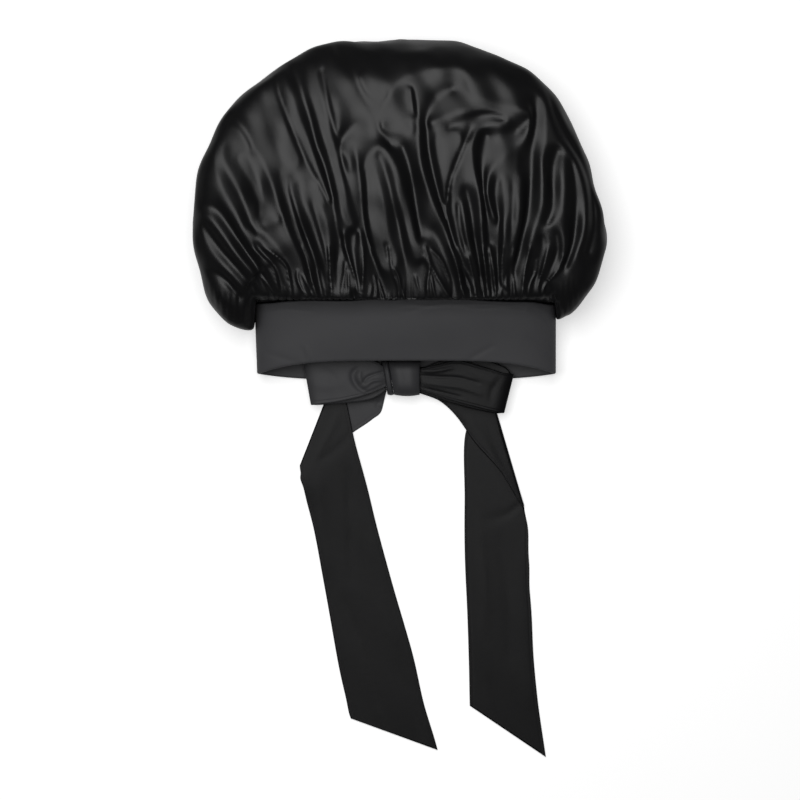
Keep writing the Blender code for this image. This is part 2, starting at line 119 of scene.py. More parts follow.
def end_fan(start, columns, centre, reverse):
    """Triangles from a closed ring of points to one centre point, one for each step round the
    ring. Reverse turns them over."""
    column = start + np.arange(columns)
    after = start + (np.arange(columns) + 1) % columns
    pair = [after, column] if reverse else [column, after]
    return np.stack(pair + [np.full(columns, centre)], axis=-1)


def cloth_map(grid, closed):
    """Metres of cloth across and along at each grid point, from the mean steps of the grid."""
    wide = np.concatenate([grid, grid[:, :1]], axis=1) if closed else grid
    across = np.linalg.norm(np.diff(wide, axis=1), axis=-1).mean(axis=0)
    along = np.linalg.norm(np.diff(wide, axis=0), axis=-1).mean(axis=1)
    u = np.concatenate([[0.0], np.cumsum(across)])
    v = np.concatenate([[0.0], np.cumsum(along)])
    return np.stack(np.meshgrid(u, v), axis=-1).reshape(-1, 2)


def add_piece(name, points, faces, face_uvs, material):
    """One mesh object at the origin from points and lists of faces with their UVs."""
    mesh = bpy.data.meshes.new(name)
    mesh.vertices.add(len(points))
    mesh.vertices.foreach_set("co", np.asarray(points, np.float32).ravel())
    corner = np.concatenate([part.ravel() for part in faces]).astype(np.int32)
    sides = np.concatenate([np.full(len(part), part.shape[1]) for part in faces])
    mesh.loops.add(len(corner))
    mesh.loops.foreach_set("vertex_index", corner)
    mesh.polygons.add(len(sides))
    mesh.polygons.foreach_set("loop_start", np.concatenate([[0], np.cumsum(sides)[:-1]]))
    mesh.update(calc_edges=True)
    uvs = mesh.uv_layers.new(name="cloth")
    uvs.data.foreach_set("uv", np.concatenate([part.reshape(-1, 2) for part in face_uvs])
                         .astype(np.float32).ravel())
    mesh.shade_smooth()
    mesh.materials.append(material)
    piece = bpy.data.objects.new(name, mesh)
    bpy.context.scene.collection.objects.link(piece)
    print(f"{name}: {len(points)} points, {int((sides - 2).sum())} triangles")
    return face_outward(piece)


def face_outward(piece):
    """Turn the faces over when the mesh's signed volume is negative."""
    mesh = piece.data
    mesh.calc_loop_triangles()
    points = np.empty(len(mesh.vertices) * 3, np.float32)
    mesh.vertices.foreach_get("co", points)
    points = points.reshape(-1, 3).astype(float)
    corner = np.empty(len(mesh.loop_triangles) * 3, np.int32)
    mesh.loop_triangles.foreach_get("vertices", corner)
    a, b, c = (points[corner.reshape(-1, 3)[:, side]] for side in range(3))
    volume = float(np.einsum("ij,ij->i", a, np.cross(b, c)).sum() / 6)
    if volume < 0:
        mesh.flip_normals()
    area = float(np.linalg.norm(np.cross(b - a, c - a), axis=-1).sum() / 4)
    print(f"{piece.name}: {1e4 * area:.0f} square cm of cloth, counting one side")
    return piece


def grid_normals(grid, closed):
    """Unit normals of a grid: the cross product of its steps along and its steps across."""
    if closed:
        around = np.roll(grid, -1, axis=1) - np.roll(grid, 1, axis=1)
    else:
        around = np.gradient(grid, axis=1)
    normal = np.cross(np.gradient(grid, axis=0), around)
    length = np.linalg.norm(normal, axis=-1, keepdims=True)
    return normal / np.maximum(length, 1e-12)


# %% [markdown]
# ## Satin
#
# Satin is woven with long floating threads, so that its face is smooth and throws a soft broad
# gloss, while the thread ends give a faint cross grain. Polyester threads are about 0.12 mm
# apart. In a picture of the whole bonnet that is finer than a pixel, so the grain is drawn four
# times coarser. The crown shows the glossy face. The band and the tie have a rougher face and a
# charcoal base colour, which is painted sheen: it stands in for the soft glow that the lamp
# raises on their satin. The tie also has a nearly black copy of its colour, with its own
# roughness and gloss. It is painted shade where the tie lies darker under the lamp: on the right
# loop, the right tail and the left tail below its fold.

# %% Colours and nodes
THREAD_SPACING = 0.00012
GRAIN_SCALE_UP = 4.0
FLOAT_SHARE = 0.18
PATCHES_PER_METRE = 38.0
ROUGHNESS_DRIFT = 0.05
# Roughness and gloss of the nearly black copy of the tie's colour, which is painted shade
SHADED_COPY_ROUGHNESS = 0.36
SHADED_COPY_GLOSS = 0.095


def linear(colour):
    """A hex colour in sRGB as the linear red, green, blue and alpha that shaders use: a share s
    becomes s / 12.92 in the darkest tones and ((s + 0.055) / 1.055)^2.4 above them."""
    shares = [int(colour[start:start + 2], 16) / 255 for start in (1, 3, 5)]
    return [s / 12.92 if s <= 0.04045 else ((s + 0.055) / 1.055) ** 2.4 for s in shares] + [1.0]


def add_node(tree, kind, settings=None, links=None):
    """A node with its settings and links: numbers and words are sockets, names are properties."""
    node = tree.nodes.new(kind)
    for key, value in (settings or {}).items():
        if key in node.inputs.keys():
            node.inputs[key].default_value = value
        else:
            setattr(node, key, value)
    for key, source in (links or {}).items():
        tree.links.new(source, node.inputs[key])
    return node


def between(tree, low, high, share):
    """A value that goes straight from low to high while the share goes from 0 to 1."""
    return add_node(tree, "ShaderNodeMapRange", {"To Min": low, "To Max": high},
                    {"Value": share}).outputs["Result"]


def woven_satin(name, face, deep, roughness, gloss, grain, turned=None):
    """Satin: a colour that drifts a little between two dyes, a thread grain in the bump, and a
    gloss whose roughness wanders where the cloth was handled. Turned is a nearly black colour,
    painted shade with its own roughness and gloss, shown by the mesh's attribute of that name."""
    material = bpy.data.materials.new(name)
    material.use_nodes = True
    tree = material.node_tree
    shader = tree.nodes["Principled BSDF"]
    cloth = add_node(tree, "ShaderNodeUVMap", {"uv_map": "cloth"}).outputs["UV"]
    place = add_node(tree, "ShaderNodeTexCoord").outputs["Object"]
    thread = THREAD_SPACING * GRAIN_SCALE_UP
    warp = add_node(tree, "ShaderNodeMapping", {"Scale": (1 / thread, FLOAT_SHARE / thread, 1.0)},
                    {"Vector": cloth}).outputs["Vector"]
    floats = add_node(tree, "ShaderNodeTexNoise", {"Scale": 1.0, "Detail": 3.0},
                      {"Vector": warp}).outputs["Fac"]
    patches = add_node(tree, "ShaderNodeTexNoise", {"Scale": PATCHES_PER_METRE, "Detail": 4.0},
                       {"Vector": place}).outputs["Fac"]
    dye = add_node(tree, "ShaderNodeMix", {"data_type": "RGBA"}, {"Factor": patches})
    dye.inputs[6].default_value = linear(deep)
    dye.inputs[7].default_value = linear(face)
    rough = between(tree, roughness - ROUGHNESS_DRIFT, roughness + ROUGHNESS_DRIFT, patches)
    bump = add_node(tree, "ShaderNodeBump", {"Strength": grain, "Distance": thread / 2},
                    {"Height": floats})
    tree.links.new(dye.outputs[2], shader.inputs["Base Color"])
    tree.links.new(rough, shader.inputs["Roughness"])
    tree.links.new(bump.outputs["Normal"], shader.inputs["Normal"])
    shader.inputs["Specular IOR Level"].default_value = gloss
    # Painted shade: where the mesh's turned attribute is 1, the colour becomes the nearly black
    # turned colour, with its own roughness and gloss, standing in for the dimmer light on those
    # pieces.
    if turned:
        which = add_node(tree, "ShaderNodeAttribute", {"attribute_name": "turned"}).outputs["Fac"]
        sides = add_node(tree, "ShaderNodeMix", {"data_type": "RGBA"}, {"Factor": which})
        tree.links.new(dye.outputs[2], sides.inputs[6])
        sides.inputs[7].default_value = linear(turned)
        tree.links.new(sides.outputs[2], shader.inputs["Base Color"])
        roughness_with_shade = between(tree, roughness, SHADED_COPY_ROUGHNESS, which)
        tree.links.new(roughness_with_shade, shader.inputs["Roughness"])
        gloss_with_shade = between(tree, gloss, SHADED_COPY_GLOSS, which)
        tree.links.new(gloss_with_shade, shader.inputs["Specular IOR Level"])
    return material


crown_satin = woven_satin("glossy_woven_polyester_satin", "#111112", "#0d0d0e", 0.36, 0.26, 0.15)
# The band's charcoal base colour is painted sheen, standing in for the glow the lamp raises on its
# satin.
band_satin = woven_satin("band_satin_painted_sheen", "#434345", "#3e3e40", 0.55, 0.25, 0.25)
# The tie's charcoal face colour is painted sheen, and its nearly black turned colour is painted
# shade.
tie_satin = woven_satin("tie_satin_painted_sheen_and_shade", "#373739", "#333335", 0.50, 0.20, 0.25,
                        turned="#0f0f10")
print("materials:", [m.name for m in (crown_satin, band_satin, tie_satin)])

# %% [markdown]
# ## The crown's body
#
# The crown is a round bag of satin. Its mouth is gathered into the band, and its fullness rolls
# over the band's top edge and hangs down beside it in two soft lobes. Laid flat, every ring of
# cloth parallel to the mouth becomes a flattened loop with a puffed upper side. So the body is
# a table of such loops, from the mouth to the far end, joined by a smooth curve. The solid was
# made from such a table too, but it is rounder at its shoulders, its far end and beside the seam.
# Here the cloth stays high nearly to its edge there, where the photograph shows it bright.

# %% Rings of the crown
CROWN_WIDTH = 0.3545
CROWN_LENGTH = 0.2286
CROWN_HEIGHT = 0.088
CROWN_WALL = 0.0015
CROWN_OFFSET = -0.0045
NECK_DEPTH = 0.0065
NECK_GATHER_DEPTH = 0.0010
BAND_WIDTH = 0.260
BAND_DEPTH = 0.0598
BAND_WALL = 0.0030
BAND_TOP_HEIGHT = 0.0550
BAND_MOUTH_HEIGHT = 0.0420
BAND_CREASE_HEIGHT = 0.0170
SEAM_RISE = 0.0039
SEAM_DROP = 0.0113
HEM_RISE = 0.0113
HEM_DROP = 0.0052
SEWING_GAP = 0.0003
UPPER_POWER = 0.58
CROWN_POWER = 0.28
LOWER_POWER = 0.50
LEFT_SHOULDER = 0.12
EDGE_POWER = 4

# Shares of the crown's width, length and height, one row for each loop above the neck
CROWN_RINGS = (
    # left across, left along, right across, right along, middle along,
    #       side height, upper height, lower height, turn
    (-0.424, -0.057, 0.420, -0.023, 0.095, 0.27, 0.914, -0.10, 0.80),
    (-0.466, 0.027, 0.468, 0.076, 0.163, 0.30, 0.937, -0.10, 0.60),
    (-0.490, 0.163, 0.495, 0.178, 0.246, 0.34, 0.958, -0.10, 0.40),
    (-0.500, 0.303, 0.498, 0.265, 0.352, 0.37, 0.980, -0.10, 0.20),
    (-0.490, 0.466, 0.471, 0.439, 0.473, 0.38, 0.995, -0.10, 0.00),
    (-0.461, 0.598, 0.439, 0.587, 0.595, 0.37, 0.985, -0.10, 0.00),
    (-0.410, 0.731, 0.393, 0.739, 0.720, 0.35, 0.970, -0.08, 0.00),
    (-0.332, 0.841, 0.315, 0.867, 0.833, 0.32, 0.938, -0.04, 0.00),
    (-0.241, 0.936, 0.220, 0.943, 0.920, 0.27, 0.850, 0.06, 0.00),
    (-0.171, 0.977, 0.171, 0.970, 0.962, 0.25, 0.740, 0.14, 0.00),
    (-0.102, 0.985, 0.102, 0.989, 0.985, 0.25, 0.560, 0.19, 0.00),
    (0.000, 1.000, 0.000, 1.000, 1.000, 0.25, 0.250, 0.25, 0.00),
)

# Where the gathered cloth rolls over the band's top edge, in millimetres from the band's corner
CROWN_ROLL = (
    # left half, right half, left along, right along, middle past the seam, back,
    #       side height, upper height, lower height, turn, power
    (130.2, 130.2, 0.6, 0.6, 0.0, 14.4, 22.0, 64.0, 4.0, 0.970, 0.50),
    (130.6, 130.4, -11.0, -5.0, -0.5, 12.2, 23.0, 74.5, 1.0, 0.975, 0.42),
    (131.6, 131.0, -21.5, -12.6, 0.0, 7.6, 23.5, 77.8, -4.4, 0.970, 0.36),
    (143.5, 137.5, -20.6, -10.5, 4.6, 2.0, 23.8, 79.2, -7.0, 0.900, 0.30),
)

# The solids were moved so that their box is centred; the band's corners give the move
band_low, band_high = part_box("band")
ORIGIN_X = (band_low.x + band_high.x) / 2
ORIGIN_Y = band_high.y - SEAM_RISE


def flat_ring(angles, left, right, along_left, along_right, middle, drop, side, upper, lower,
              turn, power):
    """A flattened loop: across goes with the cosine, height with a power of the sine, and the
    line of the loop bends from its middle to its side points beyond the turn."""
    cosine = np.cos(angles)
    sine = np.sin(angles)
    reach = np.abs(cosine)
    across = (left + right) / 2 + (right - left) / 2 * cosine
    side_along = np.where(cosine > 0, along_right, along_left)
    turned = smoothstep((reach - turn) / max(1.0 - turn, 1e-6))
    along = middle + (side_along - middle) * turned
    hang = np.where(sine > 0, 0.0, drop) * (1.0 - reach ** EDGE_POWER)
    # The puffed left shoulder stays high nearly to its edge, so its upper side falls later there
    left_power = power - LEFT_SHOULDER * smoothstep(along / CROWN_LENGTH)
    shoulder = np.where(cosine < 0, left_power, power)
    top = side + (upper - side) * np.abs(sine) ** shoulder
    bottom = side + (lower - side) * np.abs(sine) ** LOWER_POWER
    height = np.maximum(np.where(sine > 0, top, bottom), 0.0)
    return np.stack([ORIGIN_X + across, ORIGIN_Y + along - hang, height], axis=-1)


def band_height(share):
    """Height of the band's upper leaf, straight from its top edge to its mouth."""
    return BAND_TOP_HEIGHT + (BAND_MOUTH_HEIGHT - BAND_TOP_HEIGHT) * share


def crown_table():
    """Every loop of the crown: two in the neck, four that roll over the band, then the body."""
    inset = BAND_WALL + SEWING_GAP + NECK_GATHER_DEPTH
    neck_half = BAND_WIDTH / 2 - inset
    rows = []
    for onward in (-NECK_DEPTH, SEWING_GAP):
        top = band_height(max(-onward, 0.0) / BAND_DEPTH) - inset
        rows.append((-neck_half, neck_half, onward, onward, SEAM_RISE + onward,
                     SEAM_RISE + SEAM_DROP, BAND_CREASE_HEIGHT, top, inset, 0.6,
                     UPPER_POWER))
    for row in CROWN_ROLL:
        left, right, along_left, along_right, past, back, side, upper, lower = (
            value / 1000 for value in row[:-2])
        rows.append((-left, right, along_left, along_right, SEAM_RISE + past, back,
                     side, upper, lower, *row[-2:]))
    for left, along_left, right, along_right, middle, side, upper, lower, turn in CROWN_RINGS:
        rows.append((CROWN_OFFSET + left * CROWN_WIDTH, CROWN_OFFSET + right * CROWN_WIDTH,
                     along_left * CROWN_LENGTH, along_right * CROWN_LENGTH,
                     middle * CROWN_LENGTH, 0.0, side * CROWN_HEIGHT, upper * CROWN_HEIGHT,
                     lower * CROWN_HEIGHT, turn, CROWN_POWER))
    return rows


# %% Even steps over the cloth
UPPER_COLUMNS = 424
LOWER_COLUMNS = 44
CROWN_ROWS = 172
ROWS_TOWARD_SEAM = 1.3
ANGLE_STEPS = 4001
PLACE_STEPS = 801
WIDEST_SIDE = 0.37
WIDEST_TURN = 0.2


def even_angles(count, start, end):
    """Angles from start towards end that cut the crown's widest loop into equal lengths."""
    dense = np.linspace(start, end, ANGLE_STEPS)
    widest = flat_ring(dense, -CROWN_WIDTH / 2, CROWN_WIDTH / 2, 0, 0, 0, 0,
                       WIDEST_SIDE * CROWN_HEIGHT, CROWN_HEIGHT, 0.0, WIDEST_TURN, CROWN_POWER)
    return np.interp(even_places(widest, count + 1)[:-1], np.arange(ANGLE_STEPS), dense)


angles = np.concatenate([even_angles(UPPER_COLUMNS, 0.0, math.pi),
                         even_angles(LOWER_COLUMNS, math.pi, 2 * math.pi)])
table = np.array(crown_table())
dense_places = np.linspace(0, len(table) - 1, PLACE_STEPS)
sparse_angles = np.array([0.02, 0.5, 1.0, math.pi / 2, 2.1, 2.6, math.pi - 0.02])
dense_rings = np.stack([flat_ring(sparse_angles, *row)
                        for row in through_rows(table, dense_places)])
longest = np.linalg.norm(np.diff(dense_rings, axis=0), axis=-1).max(axis=1)
travelled = np.concatenate([[0.0], np.cumsum(longest)])
closer_at_seam = np.linspace(0.0, 1.0, CROWN_ROWS) ** ROWS_TOWARD_SEAM
places = np.interp(travelled[-1] * closer_at_seam, travelled, dense_places)
body = np.stack([flat_ring(angles, *row) for row in through_rows(table, places)])
print("crown body:", body.shape, "steps of about",
      round(1000 * travelled[-1] / CROWN_ROWS, 2), "mm along")

# %% [markdown]
# ## The crown's folds
#
# What the eye knows as satin is its folds: narrow bright crests where the cloth faces the lamp,
# dark slopes between them, and fine dark creases where two folds meet. Each is drawn on the
# photograph as a line with a height and a half width. Then a skin is stretched over all the
# lines, as a rubber sheet would be over wires: between the lines every point settles at the mean
# of its neighbours, which gives straight slopes, and a slight blur rounds the crests. The places
# below are pixels of the photograph, and one pixel is 0.866 mm of the bonnet.

# %% Chart of the folds
PIXEL = 0.000866
PHOTO_MIDDLE_X = 400.3
PHOTO_MIDDLE_Y = 399.0

FOLD_CHART = (
    # name, heights in mm at start, middle and end, half widths in pixels at the same places,
    #  points in pixels of the photograph
    ("plateau left", (0.5, 1.0, 1.0), (4, 9, 9),
     ((268, 77), (270, 88), (273, 105), (279, 125), (286, 145), (293, 163))),
    ("band 2", (0.8, 0.8, 0.5), (3.5, 5, 3),
     ((281, 74), (286, 88), (292, 110), (300, 130), (308, 150), (317, 172), (324, 190), (329, 203))),
    ("crease 1", (-0.8, -1.2, -2.5), (0.4, 0.4, 0.4),
     ((277, 80), (279, 95), (284, 110), (290, 125), (298, 142), (305, 158), (314, 175), (322, 190),
      (330, 207), (337, 225), (342, 240), (346, 255), (352, 270), (356, 290))),
    ("valley 1", (-1.5, -3.5, -2.0), (0.8, 0.8, 0.5),
     ((289, 68), (297, 82), (304, 100), (312, 125), (318, 150), (326, 172), (333, 200), (337, 225),
      (341, 243))),
    ("band 3", (0.5, 1.5, 1.5), (7, 5, 4),
     ((311, 60), (314, 85), (320, 110), (327, 135), (333, 155), (338, 175), (342, 195), (346, 215),
      (351, 228))),
    ("crease 2", (-0.5, -1.2, -2.5), (0.4, 0.4, 0.4),
     ((322, 75), (327, 95), (331, 115), (336, 135), (341, 152), (344, 170), (348, 183), (353, 200),
      (358, 215), (362, 228), (367, 242), (372, 255), (378, 268), (386, 285))),
    ("band 3 right", (1, 1, 0.3), (5, 4, 2),
     ((329, 54), (331, 78), (334, 100), (337, 118), (339, 135))),
    ("crease 3", (-1, -1, -1.5), (0.4, 0.4, 0.4),
     ((336, 50), (347, 68), (357, 86), (364, 100), (374, 120), (384, 140), (391, 152))),
    ("pocket 2", (-2.5, -2.5, -2.0), (1, 2, 1),
     ((342, 146), (348, 137), (356, 129))),
    ("spot 2", (0.3, 0.5, 0.0), (1.5, 2.5, 1),
     ((343, 156), (349, 165), (351, 173))),
    ("valley 2b", (-1.5, -3, -3), (0.5, 0.8, 0.5),
     ((351, 145), (356, 155), (359, 170), (361, 185), (363, 203), (365, 220), (368, 238),
      (372, 252))),
    ("plateau middle", (1.5, 1.5, 1.0), (5, 10, 10),
     ((371, 174), (374, 195), (377, 220), (382, 245), (388, 262))),
    ("arch middle", (1, 1.8, 1.8), (2, 2.5, 2),
     ((365, 172), (370, 160), (378, 152), (386, 153), (391, 162))),
    ("ridge 7", (1.8, 2, 1), (2.5, 4, 5),
     ((391, 162), (397, 178), (401, 195), (406, 213), (410, 230), (414, 246), (418, 258))),
    ("valley arch", (0, -2.5, -2), (0.5, 0.8, 0.5),
     ((379, 158), (384, 170), (389, 188), (394, 210), (399, 230), (403, 250), (406, 268),
      (408, 288))),
    ("slit middle", (-0.6, -0.8, -0.6), (0.3, 0.3, 0.3),
     ((386, 246), (389, 262))),
    ("valley 3", (-3, -4, -2.5), (1.5, 1.5, 1),
     ((403, 152), (408, 167), (412, 185), (415, 205), (418, 225), (420, 240))),
    ("ridge 8", (2.5, 3, 2), (1.8, 1.8, 1.6),
     ((406, 82), (412, 92), (416, 108), (418, 130), (419, 150), (421, 168), (425, 185), (431, 202),
      (438, 218), (446, 235), (452, 250), (457, 265), (461, 285))),
    ("line 8", (0.5, 0.5, 0.5), (0.4, 0.4, 0.4),
     ((411, 93), (413, 105), (414.5, 119))),
    ("blob 8", (1.2, 1.0, 0.8), (1.5, 2.5, 1.5),
     ((407, 94), (407, 103), (408, 114))),
    ("patch top", (1, 1, 1), (5, 9, 6),
     ((366, 82), (374, 91), (381, 99))),
    ("patch low", (0.8, 0.8, 0.8), (5, 6, 5),
     ((386, 131), (397, 132), (408, 133))),
    ("valley 4", (-1, -2, -1.5), (0.8, 0.8, 0.5),
     ((426, 125), (427, 145), (429, 160), (433, 178), (437, 193), (441, 208), (445, 222))),
    ("fan", (1.5, 1.5, 1.5), (14, 7, 1),
     ((448, 147), (446, 160), (446, 175), (445, 190), (445, 203))),
    ("crease 5", (-1, -1.5, -2), (0.5, 0.5, 0.5),
     ((470, 133), (465, 145), (459, 158), (454, 170), (449, 185), (446.5, 200), (446, 215),
      (448, 230), (452, 245), (458, 258), (463, 270), (470, 283))),
    ("ridge 9", (1.5, 2, 2), (3.5, 5, 2.5),
     ((468, 148), (463, 163), (458, 178), (455, 193), (452.5, 208), (452.5, 218))),
    ("ridge 9a", (2, 2, 1), (1.4, 1.6, 1.4),
     ((452.5, 220), (456, 236), (461, 252), (467, 268), (473, 284))),
    ("ridge 9b", (2, 2, 1), (1.6, 1.8, 1.4),
     ((460, 205), (463, 222), (465.5, 240), (470, 256), (475, 272), (480, 288))),
    ("slit 9", (0.4, 0.2, -0.5), (0.4, 0.4, 0.4),
     ((457, 207), (459, 225), (462, 241), (467, 256))),
    ("valley 6", (0, -3, -2.5), (0.6, 1, 0.6),
     ((465, 192), (468, 205), (470.5, 222), (473, 240), (476, 256), (479, 272), (482, 286))),
    ("ridge 10", (2, 2, 1.5), (1.8, 1.8, 1.5),
     ((471, 155), (472, 168), (475, 183), (478, 198), (480, 215), (481, 235), (482.5, 255),
      (485, 275), (488, 290))),
    ("valley 7", (-2, -3, -1), (3, 1.5, 0.4),
     ((484, 140), (481, 152), (480, 168), (481, 182), (483, 195), (484.5, 210), (485.5, 225),
      (487, 245), (489, 265), (492, 285))),
    ("swirl upper", (2.0, 3, 2.5), (1.8, 2.6, 1.8),
     ((430, 128), (442, 124), (456, 118), (470, 114.5), (485, 113), (497, 116), (506, 121))),
    ("swirl lens", (0.3, -0.2, 0.8), (0.5, 0.6, 0.4),
     ((447, 134), (460, 128), (472, 122), (486, 119), (498, 121), (503, 123))),
    ("swirl lower", (2.3, 2, 2), (1.6, 2, 1.8),
     ((507, 124), (501, 129), (490, 130), (480, 134), (474, 142), (471, 153))),
    ("top roll", (1.2, 5, 3.0), (1.5, 2.8, 2.4),
     ((384, 112), (390, 101), (399, 88), (409, 80), (424, 75), (441, 72), (457, 72.5), (465, 78),
      (469, 89), (475, 99), (488, 104), (507, 111), (525, 116), (531, 119))),
    ("valley 11", (-0.5, -1.5, -0.5), (1, 3, 1),
     ((452, 94), (444, 97), (436, 103), (430, 112), (426, 124))),
    ("edge fold", (1.0, 2.6, 1.0), (1, 2.2, 1),
     ((484, 58), (501, 65), (518, 75), (534, 88))),
    ("pocket 13", (0.2, -1.5, -0.3), (1, 2.5, 2),
     ((526, 124), (519, 131), (510, 137), (500, 141))),
    ("rim 3", (1.8, 2.0, 1.6), (1.2, 2.2, 2.5),
     ((532, 122), (529, 131), (523, 143), (514, 154))),
    ("plateau right", (1.5, 1.5, 1.5), (4, 8, 9),
     ((512, 158), (508, 166), (507, 173))),
    ("curl 11", (1.5, 1.8, 0.5), (1.4, 1.4, 1),
     ((495, 168), (488, 178), (485, 190), (486, 203), (490, 214), (494, 222))),
    ("valley 7b", (0, -2.5, -2), (0.8, 1.6, 0.8),
     ((496, 183), (493, 195), (495, 210), (497, 225), (497, 242), (496.5, 260), (498, 280))),
    ("ridge 11b", (0, 0.8, 0.5), (0.8, 1, 1),
     ((487, 247), (490, 260), (493, 275), (496, 292))),
    ("ridge 12", (2, 2, 1), (3.5, 2.8, 1.6),
     ((504, 184), (504.5, 200), (504, 220), (502.5, 245), (501, 265), (503, 285))),
    ("line 12", (1.2, 0.6, 0.8), (0.6, 0.8, 0.6),
     ((511, 188), (511, 205), (510.5, 222), (508, 245))),
    ("ridge 13", (2, 2, 1), (3.2, 3, 1.8),
     ((517, 183), (517.5, 200), (517, 215), (515.5, 230), (513, 245), (509.5, 260))),
    ("valley 8", (-1, -3.5, -2), (2, 2, 1),
     ((533, 104), (532, 130), (530, 150), (529, 180), (526.5, 205), (523.5, 225), (519.5, 242),
      (516, 257), (512, 272))),
    ("wedge 14", (1, 2, 2), (1, 3, 6.5),
     ((545, 94), (545, 112), (547, 130), (549, 142))),
    ("ridge 14", (2, 2, 1.5), (2.2, 2, 1.8),
     ((544, 150), (540.5, 165), (541, 185), (540.5, 202), (537, 220), (532, 237), (527, 252),
      (522.5, 268), (520, 286))),
    ("ridge 16", (2, 2.5, 1.5), (2, 2, 1.8),
     ((557, 146), (564, 151), (571, 160), (577, 171), (582, 186), (584.5, 205), (583, 225),
      (578.5, 245), (572, 262), (566, 276), (561, 289))),
    ("valley 9", (-1, -2.5, -1), (2, 1.5, 1),
     ((555, 155), (550, 168), (549.5, 185), (550, 202), (549, 216), (545, 226))),
    ("ridge 15", (1.5, 2, 1.5), (3, 2.5, 1.6),
     ((563, 163), (561, 180), (561, 205), (561, 230), (562, 250), (559, 264), (551, 276),
      (544, 288))),
    ("hook", (1.8, 1, 1), (1.2, 1.3, 1.2),
     ((558, 219), (550, 227), (543, 232), (546, 241), (548, 250), (545.5, 262), (541, 275),
      (537.5, 288))),
    ("valley hook", (-0.5, -1, 0), (0.5, 0.6, 0.5),
     ((554, 236), (556, 250), (552, 263), (545, 276))),
    ("valley 14b", (-0.5, -1, -0.3), (0.5, 0.6, 0.5),
     ((540, 240), (540, 252), (536, 266), (531, 278), (528, 290))),
    ("valley 10", (0, -3, -1.5), (0.8, 1.5, 1),
     ((568, 166), (571, 180), (573, 200), (573, 220), (571, 240), (567, 256), (562, 268))),
    ("crease 16", (-0.5, -1.5, -2.5), (0.5, 0.6, 0.8),
     ((547, 98), (552, 114), (560, 132), (569, 148), (578, 163), (585, 180), (589, 200),
      (590.5, 220), (589, 240), (585, 255))),
    ("ridge 17", (1, 1.5, 0.5), (1.5, 3, 2),
     ((550, 100), (559, 116), (567, 131), (575, 147), (584, 165), (591, 188), (596, 212),
      (600, 238))),
    ("blob 1", (1, 1, 1), (3, 3, 3),
     ((224, 128), (230, 131))),
    ("ridge 1", (1, 2.5, 1.5), (3, 3, 1.6),
     ((219, 138), (214.5, 152), (214, 165), (218, 180), (223, 194), (230, 207), (238, 220),
      (246, 235), (255, 250), (263, 261), (272, 271), (279, 281))),
    ("streak 1", (1.2, 1, 0.3), (1.2, 1.3, 1),
     ((228, 127), (238, 133), (247, 142), (253, 151))),
    ("valley b", (-1, -2, -2), (0.8, 1.2, 0.8),
     ((228, 119), (240, 124), (248, 136), (254, 150), (262, 160), (268, 172), (274, 188),
      (279, 203), (284, 218), (290, 235), (297, 250), (303, 262), (308, 278))),
    ("valley a", (-0.5, -3.5, -1.5), (2, 2, 1),
     ((228, 151), (228, 165), (234, 180), (243, 197), (249, 212), (253, 225), (258, 236))),
    ("blob 20", (1, 1.5, 1), (6, 4.5, 1.6),
     ((246, 163), (252, 176), (259, 191), (262, 206), (262.5, 220))),
    ("triangle 20", (0.5, 0.5, 0), (2, 3, 2),
     ((266, 228), (275, 224), (280, 222))),
    ("crease 20", (-0.5, -1, -1), (0.5, 0.5, 0.5),
     ((258, 206), (258.5, 222), (264, 233), (273, 242), (282, 251), (289, 262), (294, 275),
      (298, 288))),
    ("ridge 24", (0.8, 1.2, 0.8), (1.2, 1.8, 1.2),
     ((253, 232), (262, 243), (271, 252), (280, 263), (287, 275), (292, 288))),
    ("lens 24", (-0.3, -1.2, -0.8), (0.5, 0.6, 0.5),
     ((258, 247), (266, 258), (275, 268), (283, 280), (287, 292))),
    ("ridge 21", (1, 1.8, 1), (3, 3.4, 1.8),
     ((284, 178), (287, 193), (291, 208), (296, 224), (302, 241), (308, 257), (313, 275),
      (318, 292))),
    ("valley 14", (0, -2.2, -1.5), (2, 1.5, 0.8),
     ((293, 184), (294, 197), (299, 215), (304, 231), (310, 246), (315, 258), (319, 272),
      (326, 288))),
    ("ridge 22", (1, 1.8, 1), (3, 2.6, 1.5),
     ((304, 188), (307, 203), (312, 219), (317, 236), (322, 253), (327, 270), (330, 286))),
    ("valley 15", (0.6, 0, -0.5), (0.5, 0.6, 0.5),
     ((313, 205), (318, 222), (323.5, 240), (327, 256), (330, 270))),
    ("ridge 23", (1, 1.4, 0.8), (1.6, 1.8, 1.2),
     ((318, 200), (324, 217), (329, 235), (331.5, 252), (333.5, 272), (334, 292))),
    ("valley 1c", (-1.5, -1.5, -0.5), (0.8, 1, 0.8),
     ((340, 247), (338, 262), (338, 280))),
    ("ridge 26a", (2, 2.5, 1.5), (1.4, 1.8, 1.4),
     ((205, 219), (215, 225), (225, 238), (235, 251), (245, 263), (254, 274), (259, 281))),
    ("ridge 26b", (1.5, 2, 1), (1.4, 2, 1.6),
     ((202, 221), (204, 235), (210, 248), (218, 260), (228, 271), (240, 284), (250, 294),
      (260, 299))),
    ("lens 26", (0, -2.5, -1), (0.6, 1, 0.6),
     ((207, 228), (215, 240), (226, 255), (238, 269), (250, 283), (258, 291))),
    ("valley 26", (-1, -3, -1.5), (1, 1.5, 1),
     ((207, 210), (218, 212), (230, 226), (241, 242), (251, 257), (260, 269), (268, 280),
      (274, 292))),
    ("curl 27", (1, 1.5, 0.8), (1.4, 1.6, 1.2),
     ((206, 276), (213, 286), (222, 296), (230, 304), (238, 309), (245, 307), (247, 300))),
    ("valley 27", (-0.5, -1.8, -1), (0.8, 1, 0.8),
     ((207, 271), (218, 274), (230, 283), (237, 292), (243, 299))),
